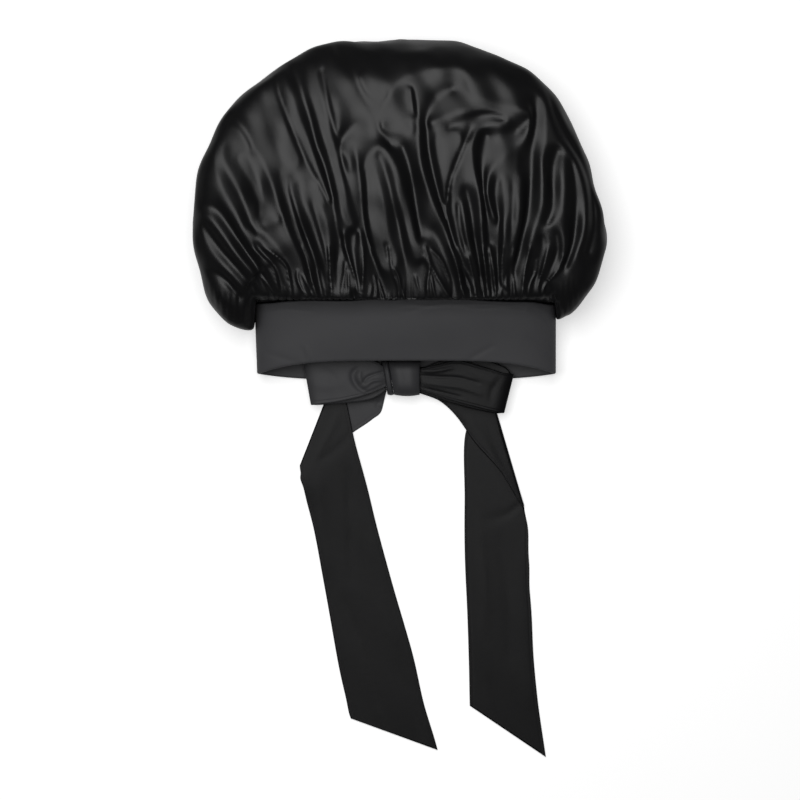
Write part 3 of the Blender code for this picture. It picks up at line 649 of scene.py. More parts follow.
    ("curl 27b", (0.5, 0.8, 0.5), (0.8, 1, 0.8),
     ((216, 281), (226, 287), (233, 295), (238, 301))),
    ("ridge 29", (1.5, 1.2, 0.8), (1.3, 1.5, 1.2),
     ((344, 236), (346, 250), (351, 266), (355, 282))),
    ("pocket 29", (-2, -1.5, -0.5), (3.5, 1.5, 0.8),
     ((354, 238), (353.5, 250), (356, 265), (359, 280))),
    ("ridge 30", (1.2, 1.2, 0.8), (1.4, 1.6, 1.4),
     ((361, 236), (362, 252), (362.5, 270), (362, 288))),
    ("pocket 31", (-1, -1, -0.5), (2.5, 2, 1),
     ((421, 266), (418, 276), (417, 288))),
    ("arch 31", (0.8, 0.8, 0.6), (1.2, 1.3, 1.2),
     ((420, 259), (426, 263), (429, 273), (427, 287))),
    ("ridge 32", (1, 1, 0.6), (1.2, 1.5, 1.2),
     ((426, 246), (433, 258), (440, 272), (448, 290))),
    ("valley 32", (-1.5, -1.5, -0.8), (2.5, 1.5, 0.8),
     ((431, 234), (437, 243), (444, 257), (450, 272), (456, 288))),
)

# %% The skin over the chart
CHART_LEFT = 180
CHART_TOP = 30
CHART_WIDTH = 440
CHART_HEIGHT = 310
SKIN_BLUR = 1.4
SKIN_ROUNDS = 120
SKIN_LEVELS = 4
LEAST_HALF_WIDTH = 0.75


def draw_line(heights, fixed, start_middle_end, half_widths, points):
    """Mark the grid points within a line's half width, each with the height of the nearest
    point of the line. The line is a smooth curve, and both values change evenly along it."""
    count = 2 * int(np.linalg.norm(np.diff(np.array(points), axis=0), axis=-1).sum())
    curve = through_rows(points, np.linspace(0, len(points) - 1, count))
    share = np.linspace(0.0, 1.0, count)
    height = np.interp(share, (0.0, 0.5, 1.0), start_middle_end)
    half = np.maximum(np.interp(share, (0.0, 0.5, 1.0), half_widths), LEAST_HALF_WIDTH)
    low = np.floor(curve.min(axis=0) - half.max()).astype(int) - (CHART_LEFT, CHART_TOP)
    high = np.ceil(curve.max(axis=0) + half.max()).astype(int) + 1 - (CHART_LEFT, CHART_TOP)
    window = np.s_[max(low[1], 0):high[1], max(low[0], 0):high[0]]
    down, across = np.mgrid[window]
    gap = np.hypot(across[..., None] + CHART_LEFT - curve[:, 0],
                   down[..., None] + CHART_TOP - curve[:, 1])
    nearest = np.argmin(gap - half, axis=-1)
    inside = gap.min(axis=-1) <= half[nearest]
    heights[window][inside] = height[nearest][inside]
    fixed[window] |= inside


def stretched_skin(chart):
    """Heights in metres on the pixel grid: coarse grids settle first and start the finer ones,
    and in each round a free point moves to the mean of its four neighbours."""
    heights = np.zeros((CHART_HEIGHT, CHART_WIDTH))
    fixed = np.zeros(heights.shape, bool)
    fixed[[0, -1], :] = True
    fixed[:, [0, -1]] = True
    for _, start_middle_end, half_widths, points in chart:
        draw_line(heights, fixed, start_middle_end, half_widths, points)
    levels = [(fixed, heights)]
    for _ in range(SKIN_LEVELS):
        fixed, heights = levels[-1]
        odd = [(0, size % 2) for size in fixed.shape]
        weight = np.pad(fixed.astype(float), odd)
        value = np.pad(heights, odd) * weight
        half_size = (weight.shape[0] // 2, 2, weight.shape[1] // 2, 2)
        weight = weight.reshape(half_size).sum(axis=(1, 3))
        value = value.reshape(half_size).sum(axis=(1, 3)) / np.maximum(weight, 1.0)
        levels.append((weight > 0, value))
    skin = levels[-1][1]
    for fixed, heights in reversed(levels):
        if skin.shape != heights.shape:
            skin = np.repeat(np.repeat(skin, 2, axis=0), 2, axis=1)
            skin = skin[:heights.shape[0], :heights.shape[1]]
        for _ in range(SKIN_ROUNDS):
            edge = np.pad(skin, 1, mode="edge")
            mean = (edge[2:, 1:-1] + edge[:-2, 1:-1] + edge[1:-1, 2:] + edge[1:-1, :-2]) / 4
            skin = np.where(fixed, heights, mean)
    return skin / 1000


def blurred(grid, spread):
    """The grid softened by a bell curve, one way and then the other."""
    reach = int(3 * spread) + 1
    bell = np.exp(-0.5 * (np.arange(-reach, reach + 1) / spread) ** 2)
    bell /= bell.sum()
    for axis in (0, 1):
        padded = np.pad(grid, [(reach, reach) if a == axis else (0, 0) for a in (0, 1)], "edge")
        grid = sum(weight * np.take(padded, np.arange(grid.shape[axis]) + step, axis=axis)
                   for step, weight in enumerate(bell))
    return grid


def read_chart(grid, x, y):
    """The grid's value at places in metres, straight between its four nearest pixels."""
    column = np.clip(x / PIXEL + PHOTO_MIDDLE_X - CHART_LEFT, 0, CHART_WIDTH - 1.001)
    row = np.clip(PHOTO_MIDDLE_Y - y / PIXEL - CHART_TOP, 0, CHART_HEIGHT - 1.001)
    left, up = column.astype(int), row.astype(int)
    share_x, share_y = column - left, row - up
    above = grid[up, left] * (1 - share_x) + grid[up, left + 1] * share_x
    below = grid[up + 1, left] * (1 - share_x) + grid[up + 1, left + 1] * share_x
    return above * (1 - share_y) + below * share_y


skin = blurred(stretched_skin(FOLD_CHART), SKIN_BLUR)
print(f"{len(FOLD_CHART)} folds charted, from {1000 * skin.min():.1f} to {1000 * skin.max():.1f} mm")

# %% [markdown]
# ## Gathers at the seam
#
# A running thread pulls the bag's mouth to the band's length, so the cloth stands in small
# pleats beside the seam. They are not quite even: the pleat width wanders between 5 and 8 mm.
# Each pleat is a small puff with a flat top, and only the narrow grooves between them are steep.
# They are strongest at the seam and run out at uneven distances, where the large folds take over.

# %% Pleats beside the seam
PLEAT_WIDTH = 0.0058
PLEAT_HEIGHT = 0.0014
PLEAT_REACH = 0.026
PUFF_POWER = 0.6
PUFF_MEAN = 0.74
SEAM_STRETCH = 11.0


def pleats(x, y):
    """A power of a sine along the seam, less about its mean, with a wandering phase and height,
    times a fade away from the seam whose reach wanders too."""
    phase = np.pi * (x / PLEAT_WIDTH + 0.9 * np.sin(x / 0.031 + 1.0) + 0.5 * np.sin(x / 0.0123))
    puff = np.abs(np.sin(phase)) ** PUFF_POWER - PUFF_MEAN
    tall = 0.7 + 0.3 * np.sin(x / 0.0075 + 2.0)
    reach = PLEAT_REACH * (0.62 + 0.38 * np.sin(x / 0.0098 + 1.3 * np.sin(x / 0.027)))
    away = y - (ORIGIN_Y + SEAM_RISE)
    return PLEAT_HEIGHT * tall * puff * (1 - smoothstep(away / reach)) ** 1.3


# %% [markdown]
# ## Narrow ridges at the seam
#
# Among the pleats stand single narrow ridges that the eye can follow. They are finer than the
# stretched skin can carry, so each is charted by itself and added as a bell across its line.

# %% Chart of the narrow ridges
DENT_STEPS = 24

SEAM_RIDGES = (
    # height in mm, width in mm, line in pixels of the photograph
    (1.3, 1.4, ((259, 274), (268, 285), (277, 300))),
    (1.4, 1.6, ((256, 252), (270, 264), (278, 277), (281, 304))),
    (1.4, 1.6, ((266, 250), (286, 265), (291, 280), (295, 306))),
    (0.9, 1.0, ((286, 289), (287, 303))),
    (1.3, 1.3, ((299, 273), (300, 284), (311, 306))),
    (0.8, 1.0, ((304, 277), (309, 288))),
    (1.4, 1.5, ((303, 250), (310, 270), (313, 282), (321, 306))),
    (0.9, 0.9, ((312, 293), (316, 305))),
    (1.2, 1.5, ((321, 273), (324, 288), (328, 306))),
    (1.4, 1.4, ((330, 250), (331, 275), (334, 306))),
    (1.2, 1.3, ((346, 265), (345, 279), (340, 304))),
    (0.9, 0.9, ((347, 291), (347, 304))),
    (1.2, 1.1, ((349, 274), (350, 304))),
    (1.3, 1.4, ((346, 250), (357, 284), (356, 306))),
    (1.2, 1.3, ((364, 250), (364, 275), (361, 304))),
    (0.9, 1.1, ((373, 287), (369, 302))),
    (1.1, 1.1, ((375, 278), (377, 291), (375, 304))),
    (1.0, 1.0, ((379, 282), (385, 303))),
    (1.2, 1.3, ((394, 270), (398, 277), (402, 294), (407, 304))),
    (1.0, 1.2, ((389, 250), (392, 270), (398, 290), (399, 303))),
    (0.9, 1.3, ((415, 278), (418, 290), (417, 303))),
    (1.3, 1.5, ((424, 259), (429, 270), (427, 286), (428, 304))),
    (1.1, 1.1, ((431, 276), (432, 286), (436, 306))),
    (1.4, 1.6, ((425, 250), (432, 270), (443, 290), (454, 306))),
    (1.2, 1.3, ((431, 252), (441, 263), (450, 284))),
    (1.4, 1.7, ((449, 250), (456, 270), (462, 294), (467, 306))),
    (1.4, 1.4, ((455, 250), (462, 268), (470, 284), (477, 306))),
    (1.3, 1.5, ((465, 250), (471, 275), (477, 300))),
    (1.3, 1.5, ((481, 250), (484, 275), (486, 306))),
    (1.3, 1.5, ((488, 250), (492, 275), (496, 304))),
    (0.9, 0.9, ((488, 290), (489, 305))),
    (1.2, 1.6, ((501, 250), (499, 275), (501, 285), (507, 290))),
    (0.9, 1.1, ((505, 279), (505, 290))),
    (1.2, 1.2, ((510, 270), (512, 286), (513, 302))),
    (1.2, 1.7, ((513, 250), (511, 266))),
    (1.3, 1.5, ((528, 250), (523, 275), (520, 303))),
    (1.2, 1.2, ((535, 263), (534, 273), (528, 289), (528, 302))),
    (1.3, 1.5, ((546, 250), (541, 270), (536, 288), (539, 302))),
    (1.2, 1.2, ((561, 258), (556, 272), (543, 287), (541, 300))),
    (1.0, 1.4, ((552, 294), (554, 303))),
)


def dents(x, y, chart):
    """The sum of long soft hollows and ridges: each is a bell across a smooth line, and fades
    at the line's ends. Lines are in pixels of the photograph, heights and widths in mm."""
    total = np.zeros(np.shape(x))
    column = x / PIXEL + PHOTO_MIDDLE_X
    row = PHOTO_MIDDLE_Y - y / PIXEL
    for rise, width, points in chart:
        curve = through_rows(points, np.linspace(0, len(points) - 1, DENT_STEPS))
        gap = np.hypot(column[..., None] - curve[:, 0], row[..., None] - curve[:, 1])
        nearest = np.argmin(gap, axis=-1)
        fade = np.sin(math.pi * (nearest + 1.5) / (DENT_STEPS + 2)) ** 0.5
        away = gap.min(axis=-1) * PIXEL * 1000 / width
        total += rise / 1000 * fade * np.exp(-away ** 2)
    return total


print(len(SEAM_RIDGES), "narrow ridges charted at the seam")

# %% [markdown]
# ## Handled cloth and its steep sides
#
# Cloth that has been handled is never quite smooth, so slow waves lie over the crown's upper
# side. The steep sides slump into slanting creases. The photograph looks straight down and
# doesn't show those creases, so they are a guess.

# %% Slow waves and slumped sides
SIDE_CENTRE_Y = 0.17
SIDE_RADIUS = 0.15
SIDE_CREASE = 0.0008


def handled(x, y):
    """The slow unevenness of handled cloth: five waves of different length and direction."""
    return (0.00040 * np.sin(x / 0.0042 + y / 0.0113 + 1.0 * np.sin(y / 0.021))
            + 0.00035 * np.sin(x / 0.0061 - y / 0.0147 + 2.0)
            + 0.00030 * np.sin(y / 0.0052 + x / 0.0170 + 0.7)
            + 0.00060 * np.sin(x / 0.0123 + y / 0.0310 + 3.0)
            + 0.00050 * np.sin(y / 0.0136 - x / 0.0262))


def slumped(grid, normals):
    """Creases of the steep sides, which a look from above barely sees: slanting waves round the
    crown, as tall as the wall is steep, that push out more than in."""
    round_place = SIDE_RADIUS * np.arctan2(grid[..., 0] - ORIGIN_X, grid[..., 1] - SIDE_CENTRE_Y)
    height = grid[..., 2]
    fall = np.sin(round_place / 0.0105 + 1.6 * np.sin(round_place / 0.037) + height / 0.021)
    sag = np.sin(height / 0.0075 + 1.9 * np.sin(round_place / 0.026 + 0.8))
    cross = np.sin(round_place / 0.0047 - height / 0.0123 + 1.2 * np.sin(round_place / 0.051))
    steep = smoothstep((0.85 - np.abs(normals[..., 2])) / 0.45)
    return SIDE_CREASE * steep * (0.35 + 0.9 * fall + 0.5 * sag + 0.35 * cross)


# %% [markdown]
# ## The crown's two walls
#
# The bag is one cloth with a thickness, so it has an outer wall with every fold and an inner
# wall that follows the broad folds alone. The charted folds start at the seam, fade out at the
# far end, and rise on the upper side only.

# %% Where the folds may rise
LOBE_START = 0.124
LOBE_BLEND = 0.008
SEAM_HOLD = 0.0008
STRETCH_END = 0.035
STRETCH_SPAN = 0.038
RIDGES_FROM = -0.004
RIDGES_TO = 0.050

upper_share = smoothstep(3.0 * np.sin(angles))[None, :]
past_seam = body[..., 1] - (ORIGIN_Y + SEAM_RISE)
beside_band = smoothstep((np.abs(body[..., 0] - ORIGIN_X) - LOBE_START) / LOBE_BLEND)
free_share = np.maximum(smoothstep((past_seam + SEAM_HOLD) / (2 * SEAM_HOLD)), beside_band)
free_share *= smoothstep((places - 2.0) / 1.0)[:, None]
end_share = smoothstep((len(table) - 1 - places) / 1.0)[:, None]
print(f"free to fold: {free_share.mean():.0%} of the crown's grid")

# %% Relief of the crown
# Over the last 35 mm before the seam the chart is stretched, so that its folds run down to it
closeness = smoothstep((STRETCH_END - past_seam) / STRETCH_SPAN)
stretch = SEAM_STRETCH * PIXEL * closeness * (1 - beside_band)
relief = read_chart(skin, body[..., 0], body[..., 1] + stretch) * free_share * end_share
near = (past_seam < RIDGES_TO) & (past_seam > RIDGES_FROM)
relief[near] += dents(body[near][:, 0], body[near][:, 1], SEAM_RIDGES) * free_share[near]
relief += handled(body[..., 0], body[..., 1]) * free_share
pleat = pleats(body[..., 0], body[..., 1]) * smoothstep((places - 1.0) / 1.0)[:, None]
print(f"relief: from {1000 * relief.min():.1f} to {1000 * relief.max():.1f} mm")

# %% Outer and inner wall
INNER_BLUR = 5.0
INNER_DROP = 0.0012

body_normals = grid_normals(body, True)
creases = slumped(body, body_normals) * smoothstep((places - 5.0) / 1.5)[:, None] * end_share
outer = body + body_normals * (pleat * upper_share + creases)[..., None]
outer[..., 2] += relief * upper_share
outer[..., 2] = np.maximum(outer[..., 2], 0.0)

# The inner wall has a third of the rows and half the columns, and follows only the broad folds
broad = read_chart(blurred(skin, INNER_BLUR), body[..., 0], body[..., 1]) * free_share * end_share
inner = body.copy()
inner[..., 2] += broad * upper_share - INNER_DROP * upper_share
inner = (inner - CROWN_WALL * body_normals)[:-12:3, ::2]
inner[..., 2] = np.maximum(inner[..., 2], CROWN_WALL)
print("outer wall:", outer.shape, "inner wall:", inner.shape)


def make_crown():
    """Outer wall, inner wall, fans that close both at the far end, and a rim round the neck."""
    rows, columns = outer.shape[0] - 1, outer.shape[1]
    inner_rows, inner_columns = inner.shape[:2]
    start = rows * columns
    outer_quads, outer_flat = grid_quads(rows, columns, True)
    inner_quads, inner_flat = grid_quads(inner_rows, inner_columns, True)
    points = np.concatenate([outer[:-1].reshape(-1, 3), inner.reshape(-1, 3),
                             [outer[-1].mean(axis=0)], [inner[-1].mean(axis=0)]])
    half = np.arange(inner_columns)
    half_after = (half + 1) % inner_columns
    far_fan = end_fan(start - columns, columns, len(points) - 2, False)
    inner_fan = end_fan(start + (inner_rows - 1) * inner_columns, inner_columns,
                        len(points) - 1, True)
    rim_quads = np.stack([2 * half + 1, 2 * half, start + half, start + half], axis=-1)[:, :3]
    rim_quads = np.concatenate([rim_quads, np.stack([(2 * half + 2) % columns, 2 * half + 1,
                                                     start + half], axis=-1)])
    rim_last = np.stack([(2 * half + 2) % columns, start + half, start + half_after], axis=-1)
    outer_uv = cloth_map(outer[:-1], True)
    inner_uv = cloth_map(inner, True)
    single = [far_fan, inner_fan, rim_quads, rim_last]
    faces = [outer_quads, inner_quads[:, ::-1] + start] + single
    uvs = [outer_uv[outer_flat], inner_uv[inner_flat[:, ::-1]]]
    uvs += [points[part][..., :2] for part in single]
    return add_piece("satin_crown", points, faces, uvs, crown_satin)


crown = make_crown()

# %% [markdown]
# ## The band
#
# The band is a tube of heavier satin folded over on itself, with elastic between its layers. It
# lies flattened: an upper leaf, a lower leaf that shows below the hem at both corners, and two
# side folds. The elastic makes it smooth, so it has only shallow dimples beside the seam and a
# faint crease. It is a closed section of four faces carried round the head opening.

# %% Band surface
BAND_COLUMNS = 360
BAND_ROWS = 44
BAND_TAPER = 0.0022
BAND_ROLL_STEPS = 7
band_around = np.linspace(0.0, 2 * math.pi, BAND_COLUMNS, endpoint=False)


def band_wall(shares, inset):
    """One face of the band: at each share of the way from seam to hem, a flattened loop that is
    set in by inset, with a rise at the upper leaf's middle and a hang at the lower leaf's."""
    share = shares[:, None]
    cosine = np.cos(band_around)[None, :]
    sine = np.sin(band_around)[None, :]
    half = BAND_WIDTH / 2 - inset[:, None]
    edge = 1.0 - np.abs(cosine) ** EDGE_POWER
    rise = SEAM_RISE + (HEM_RISE - SEAM_RISE) * share
    back = SEAM_DROP + (HEM_DROP - SEAM_DROP) * share
    along = -BAND_DEPTH * share + edge * np.where(sine > 0, rise, -back)
    upper = BAND_CREASE_HEIGHT + (band_height(share) - inset[:, None] - BAND_CREASE_HEIGHT) \
        * np.abs(sine) ** UPPER_POWER
    lower = BAND_CREASE_HEIGHT + (inset[:, None] - BAND_CREASE_HEIGHT) \
        * np.abs(sine) ** LOWER_POWER
    height = np.where(sine > 0, upper, lower)
    across = half * cosine + BAND_TAPER * share * np.maximum(-cosine, 0.0) ** 2
    return np.stack([ORIGIN_X + across, ORIGIN_Y + along + 0 * cosine, height], axis=-1)


# Faint folds of the band, as they lie on the photograph
BAND_FOLDS = (
    # height in mm, width in mm, line in pixels of the photograph
    (-0.55, 1.3, ((408, 313), (440, 306), (475, 309), (500, 308), (522, 311))),
    (-0.30, 1.5, ((262, 313), (285, 310), (312, 312))),
    (-0.45, 2.0, ((529, 312), (544, 319), (552, 331))),
    (0.30, 1.8, ((536, 309), (549, 315), (554, 324))),
    (-0.35, 2.2, ((526, 338), (538, 346), (552, 352))),
    (-0.35, 1.6, ((302, 348), (306, 361))),
    (0.30, 1.8, ((307, 347), (311, 360))),
    (-0.35, 2.2, ((467, 361), (478, 354), (493, 346))),
    (-0.25, 2.5, ((262, 352), (282, 358), (300, 364))),
)


def band_dimples(x, share):
    """Shallow dents below the seam where pleats press through, and one faint crease."""
    prints = 0.00028 * np.sin(x / 0.0041 + 2.2 * np.sin(x / 0.019)) * np.exp(-share / 0.05)
    bend = 0.085 + 0.02 * np.sin(x / 0.021 + 0.6)
    crease = -0.00045 * np.exp(-((share - bend) / 0.022) ** 2) * smoothstep((x + 0.01) / 0.03) \
        * smoothstep((0.115 - x) / 0.03)
    waves = 0.0006 * np.sin(x / 0.045 + 3.0 * share) * np.sin(math.pi * share)
    return prints + crease + waves


def edge_waves(x, share):
    """The seam pulls the band's top edge a little to and fro: two slow waves that fade away."""
    wave = 0.0005 * np.sin(x / 0.0071 + 1.7 * np.sin(x / 0.023)) + 0.0006 * np.sin(x / 0.027 + 0.8)
    return wave * (1 - smoothstep(share / 0.3))


def make_band():
    """Outer face, rolled hem, inner face and rolled top edge as one ring of rows."""
    roll = np.linspace(0.0, math.pi, BAND_ROLL_STEPS)[1:-1]
    flat = np.linspace(0.0, 1.0, BAND_ROWS)
    edge_share = BAND_WALL / 2 / BAND_DEPTH
    shares = edge_share + (1 - 2 * edge_share) * flat
    hem_shares = shares[-1] + edge_share * np.sin(roll)
    top_shares = shares[0] - edge_share * np.sin(roll)
    turned_in = BAND_WALL / 2 * (1 - np.cos(roll))
    share_rows = np.concatenate([shares, hem_shares, shares[::-1], top_shares])
    inset_rows = np.concatenate([0 * shares, turned_in, 0 * shares + BAND_WALL, turned_in[::-1]])
    ring = band_wall(share_rows, inset_rows)
    lifted = band_dimples(ring[..., 0], share_rows[:, None]) \
        + dents(ring[..., 0], ring[..., 1], BAND_FOLDS)
    ring[..., 2] += lifted * smoothstep(3 * np.sin(band_around))
    ring[..., 1] += edge_waves(ring[..., 0], share_rows[:, None])
    ring = np.concatenate([ring, ring[:1]])
    rows, columns = ring.shape[:2]
    quads, flat_quads = grid_quads(rows, columns, True)
    quads = quads % ((rows - 1) * columns)
    uv = cloth_map(ring, True)
    return add_piece("satin_band", ring[:-1].reshape(-1, 3), [quads], [uv[flat_quads]], band_satin)


band = make_band()

# %% [markdown]
# ## The tie
#
# The tie is one long strip, cut from doubled satin and turned right side out, so its edges are
# soft rolls. It leaves the knot as two tails, each with one diagonal fold, and makes two loops.
# Every strip here is carried along a table of crossing lines from edge to edge. Across, it has
# the section of a flattened tube: two leaves that close in a rounded roll at each edge.

# %% Sizes and lines of the tie
TIE_WALL = 0.0018
TIE_LAYER_GAP = 0.0009
TIE_OVERHANG = 0.0060
TIE_DESCENT = 0.0140
TAIL_LENGTH_LEFT = 0.3160
TAIL_LENGTH_RIGHT = 0.3290
TAIL_WIDTH = 0.0530
LOOP_LENGTH_LEFT = 0.0672
LOOP_LENGTH_RIGHT = 0.0763
LOOP_WIDTH = 0.0500
LOOP_HEIGHT = 0.0085
LOOP_LIFT = 0.0010
KNOT_WIDTH = 0.0245
KNOT_DEPTH = 0.0315
KNOT_HEIGHT = 0.0235
KNOT_SLANT = 0.167
KNOT_BULGE = 0.08
WRAP_WIDTH = 0.0056
WRAP_DEPTH = 0.0300
WRAP_HEIGHT = 0.0195
WRAP_BULGE = 0.05
KNOT_PLACE = (0.0002, -0.0632)
TIE_GAP = 0.00005
GROUND_GAP = 0.0001
BAND_FLOOR = BAND_WALL + SEWING_GAP

# Tie ends, one row for each crossing line from edge to edge. Across and along: the line's middle
# from the tie's side, shares of the tail's length. Angle: the line's direction in degrees from +X.
# Width: share of TAIL_WIDTH. Layer: 0 lies lowest and 1 lies on the layer below.
TAIL_RIGHT = (
    # across, along, angle, width, layer
    (0.000, -0.005, 90, 0.44, 1.0),
    (0.062, -0.025, 75, 0.46, 1.0),
    (0.116, -0.058, 68, 0.60, 1.0),
    (0.156, -0.100, 76, 0.81, 1.0),
    (0.200, -0.150, 96, 1.15, 1.0),
    (0.2316, -0.2114, 106.4, 1.62, 0.9),
    (0.2350, -0.2096, 106.3, 1.53, 0.5),
    (0.234, -0.215, 107, 1.76, 0.1),
    (0.227, -0.255, 112, 1.94, 0.0),
    (0.2047, -0.309, 116.1, 2.34, 0.0),
    (0.2040, -0.440, 126, 1.81, 0.0),
    (0.210, -0.624, 143, 1.36, 0.0),
    (0.220, -0.795, 150, 1.30, 0.0),
    (0.232, -0.930, 146, 1.50, 0.0),
)
TAIL_LEFT = (
    (0.000, 0.000, 99, 0.43, 0.0),
    (-0.035, -0.026, 112, 0.83, 0.0),
    (-0.072, -0.041, 116, 0.98, 0.0),
    (-0.107, -0.060, 102, 1.10, 0.0),
    (-0.146, -0.086, 82, 1.34, 0.0),
    (-0.1746, -0.1095, 69.2, 1.64, 0.1),
    (-0.1771, -0.1085, 69.2, 1.56, 0.5),
    (-0.1780, -0.1110, 68.2, 1.72, 0.9),
    (-0.1740, -0.1430, 65.3, 1.62, 1.0),
    (-0.152, -0.238, 43, 1.14, 1.0),
    (-0.118, -0.369, 14, 1.01, 0.5),
    (-0.075, -0.556, 7, 1.09, 0.1),
    (-0.028, -0.758, 8, 1.22, 0.0),
    (0.002, -0.891, -4, 1.28, 0.0),
    (0.026, -0.976, -20, 1.51, 0.0),
)

# Bow loops: out along the lower leaf, round the end and back along the upper leaf.
# Across and along: the line's middle from the tie's side, shares of the loop's length.
# Width: share of LOOP_WIDTH. Height: share of LOOP_HEIGHT above the lower leaf.
LOOP_LEFT = (
    # across, along, angle, width, height
    (0.000, 0.000, 99, 0.40, 0.10),
    (-0.188, 0.009, 94, 0.74, 0.02),
    (-0.504, 0.020, 90, 0.92, 0.00),
    (-0.884, 0.026, 97, 1.01, 0.06),
    (-0.981, 0.026, 100, 1.02, 0.28),
    (-1.000, 0.026, 100, 1.02, 0.52),
    (-0.984, 0.026, 100, 1.02, 0.75),
    (-0.865, 0.026, 98, 0.98, 0.95),
    (-0.575, 0.026, 93, 0.87, 1.00),
    (-0.278, 0.023, 92, 0.67, 1.00),
    (-0.098, 0.026, 94, 0.49, 0.93),
    (-0.003, 0.020, 99, 0.36, 0.80),
)
LOOP_RIGHT = (
    (0.000, -0.034, 90, 0.42, 0.10),
    (0.262, -0.023, 84, 0.70, 0.02),
    (0.586, -0.054, 82, 0.87, 0.00),
    (0.886, -0.131, 78, 0.83, 0.06),
    (0.983, -0.176, 76, 0.70, 0.28),
    (1.000, -0.176, 76, 0.70, 0.52),
    (0.984, -0.174, 76, 0.70, 0.75),
    (0.892, -0.162, 77, 0.69, 0.94),
    (0.688, -0.105, 86, 0.72, 1.00),
    (0.433, -0.040, 90, 0.73, 1.00),
    (0.206, -0.028, 90, 0.56, 0.97),
    (0.000, -0.017, 90, 0.38, 0.80),
)

# %% Strips as flattened tubes
STRIP_ROWS_PER_LINE = 14
STRIP_COLUMNS = 64
ROLL_STEPS = 7


def strip_lines(table, length, width, side):
    """Many crossing lines of a strip: middles, half vectors from middle to edge, and the
    table's last column, all on the smooth curve through the table's rows."""
    count = (len(table) - 1) * STRIP_ROWS_PER_LINE + 1
    lines = through_rows(table, np.linspace(0, len(table) - 1, count))
    middle = np.array((KNOT_PLACE[0] + side, KNOT_PLACE[1])) + lines[:, :2] * length
    turn = np.radians(lines[:, 2])
    half = 0.5 * width * lines[:, 3:4] * np.stack([np.cos(turn), np.sin(turn)], axis=-1)
    return middle, half, lines[:, 4]


def support_height(flat):
    """Height of what the tie lies on: the band's lower leaf, then the table beyond its hem."""
    hem = -(BAND_DEPTH + HEM_DROP)
    reach = np.clip(np.abs(flat[..., 0]) / (BAND_WIDTH / 2 - BAND_WALL), 0.0, 1.0)
    sine = np.sqrt(1.0 - reach ** 2)
    leaf = BAND_CREASE_HEIGHT + (BAND_WALL - BAND_CREASE_HEIGHT) * sine ** LOWER_POWER
    over = smoothstep((flat[..., 1] - hem + TIE_OVERHANG + TIE_DESCENT) / TIE_DESCENT)
    return (leaf + SEWING_GAP) * over


def round_section(leaf):
    """Values of the upper leaf carried round the section: the leaf, one edge, back, the other."""
    return np.concatenate([leaf, np.repeat(leaf[:, -1:], ROLL_STEPS, axis=1), leaf[:, ::-1],
                           np.repeat(leaf[:, :1], ROLL_STEPS, axis=1)], axis=1)


def doubled_strip(name, middle, half, lift, supported, relief, turned):
    """A flattened tube along the lines. Across, the upper leaf runs from edge to edge, a half
    circle turns the edge, and the lower leaf runs back; both ends are closed by fans. A
    supported strip follows what it lies on, and any other keeps to its lift alone."""
    share = np.sin(np.linspace(-math.pi / 2, math.pi / 2, STRIP_COLUMNS))
    share = 0.5 * share + 0.5 * np.linspace(-1.0, 1.0, STRIP_COLUMNS)
    turn = np.linspace(math.pi / 2, -math.pi / 2, ROLL_STEPS + 2)[1:-1]
    across = np.concatenate([share, 0 * turn + 1, share[::-1], 0 * turn - 1])
    outward = np.concatenate([0 * share, np.cos(turn), 0 * share, -np.cos(turn)])
    above = np.concatenate([0 * share + 1, np.sin(turn), 0 * share - 1, -np.sin(turn)])
    reach = np.linalg.norm(half, axis=-1, keepdims=True)
    direction = half / reach
    body_half = half - direction * TIE_WALL / 2
    flat = middle[:, None, :] + across[None, :, None] * body_half[:, None, :]
    under = support_height(flat) if supported else 0 * flat[..., 0]
    centre = np.concatenate([flat, under[..., None]], axis=-1)
    centre[..., 2] += lift[:, None]
    sheet = centre[:, :STRIP_COLUMNS]
    normal = grid_normals(sheet, False)
    normal *= np.where(normal[:1, :1, 2:] < 0, -1.0, 1.0)
    side = np.gradient(sheet, axis=1)
    side /= np.maximum(np.linalg.norm(side, axis=-1, keepdims=True), 1e-12)
    grid = centre + TIE_WALL / 2 * (round_section(normal) * above[None, :, None]
                                    + round_section(side) * outward[None, :, None])
    grid[..., 2] += relief(flat, across[None, :])
    if supported:
        grid[..., 2] = np.maximum(grid[..., 2], GROUND_GAP)
    return strip_mesh(name, grid, turned)


def strip_mesh(name, grid, turned):
    """The tube's faces, with a fan of triangles over each end. Turned says of every row which
    colour it takes: 0 is the charcoal one and 1 the nearly black one, which is painted shade."""
    rows, columns = grid.shape[:2]
    quads, flat_quads = grid_quads(rows, columns, True)
    points = np.concatenate([grid.reshape(-1, 3), [grid[0].mean(axis=0), grid[-1].mean(axis=0)]])
    first = end_fan(0, columns, rows * columns, True)
    final = end_fan((rows - 1) * columns, columns, rows * columns + 1, False)
    uv = cloth_map(grid, True)
    faces = [quads, first, final]
    uvs = [uv[flat_quads], points[first][..., :2], points[final][..., :2]]
    piece = add_piece(name, points, faces, uvs, tie_satin)
    # The turned attribute marks the rows that take the nearly black painted shade.
    painted_shade_layer = piece.data.attributes.new("turned", "FLOAT", "POINT")
    each = np.concatenate([np.repeat(turned, columns), turned[:1], turned[-1:]])
    painted_shade_layer.data.foreach_set("value", each.astype(np.float32))
    return piece


# %% [markdown]
# ## Loops and tails
#
# The tie was tied by hand, so each piece has its own soft dents: pleats that run out of the knot,
# a dimple in the left loop where the cloth was pinched, and long diagonal folds where the strip
# turned on its way down.

# %% Soft folds of each piece
LOOP_RIPPLE = 0.0002
TAIL_RIPPLE = 0.0001

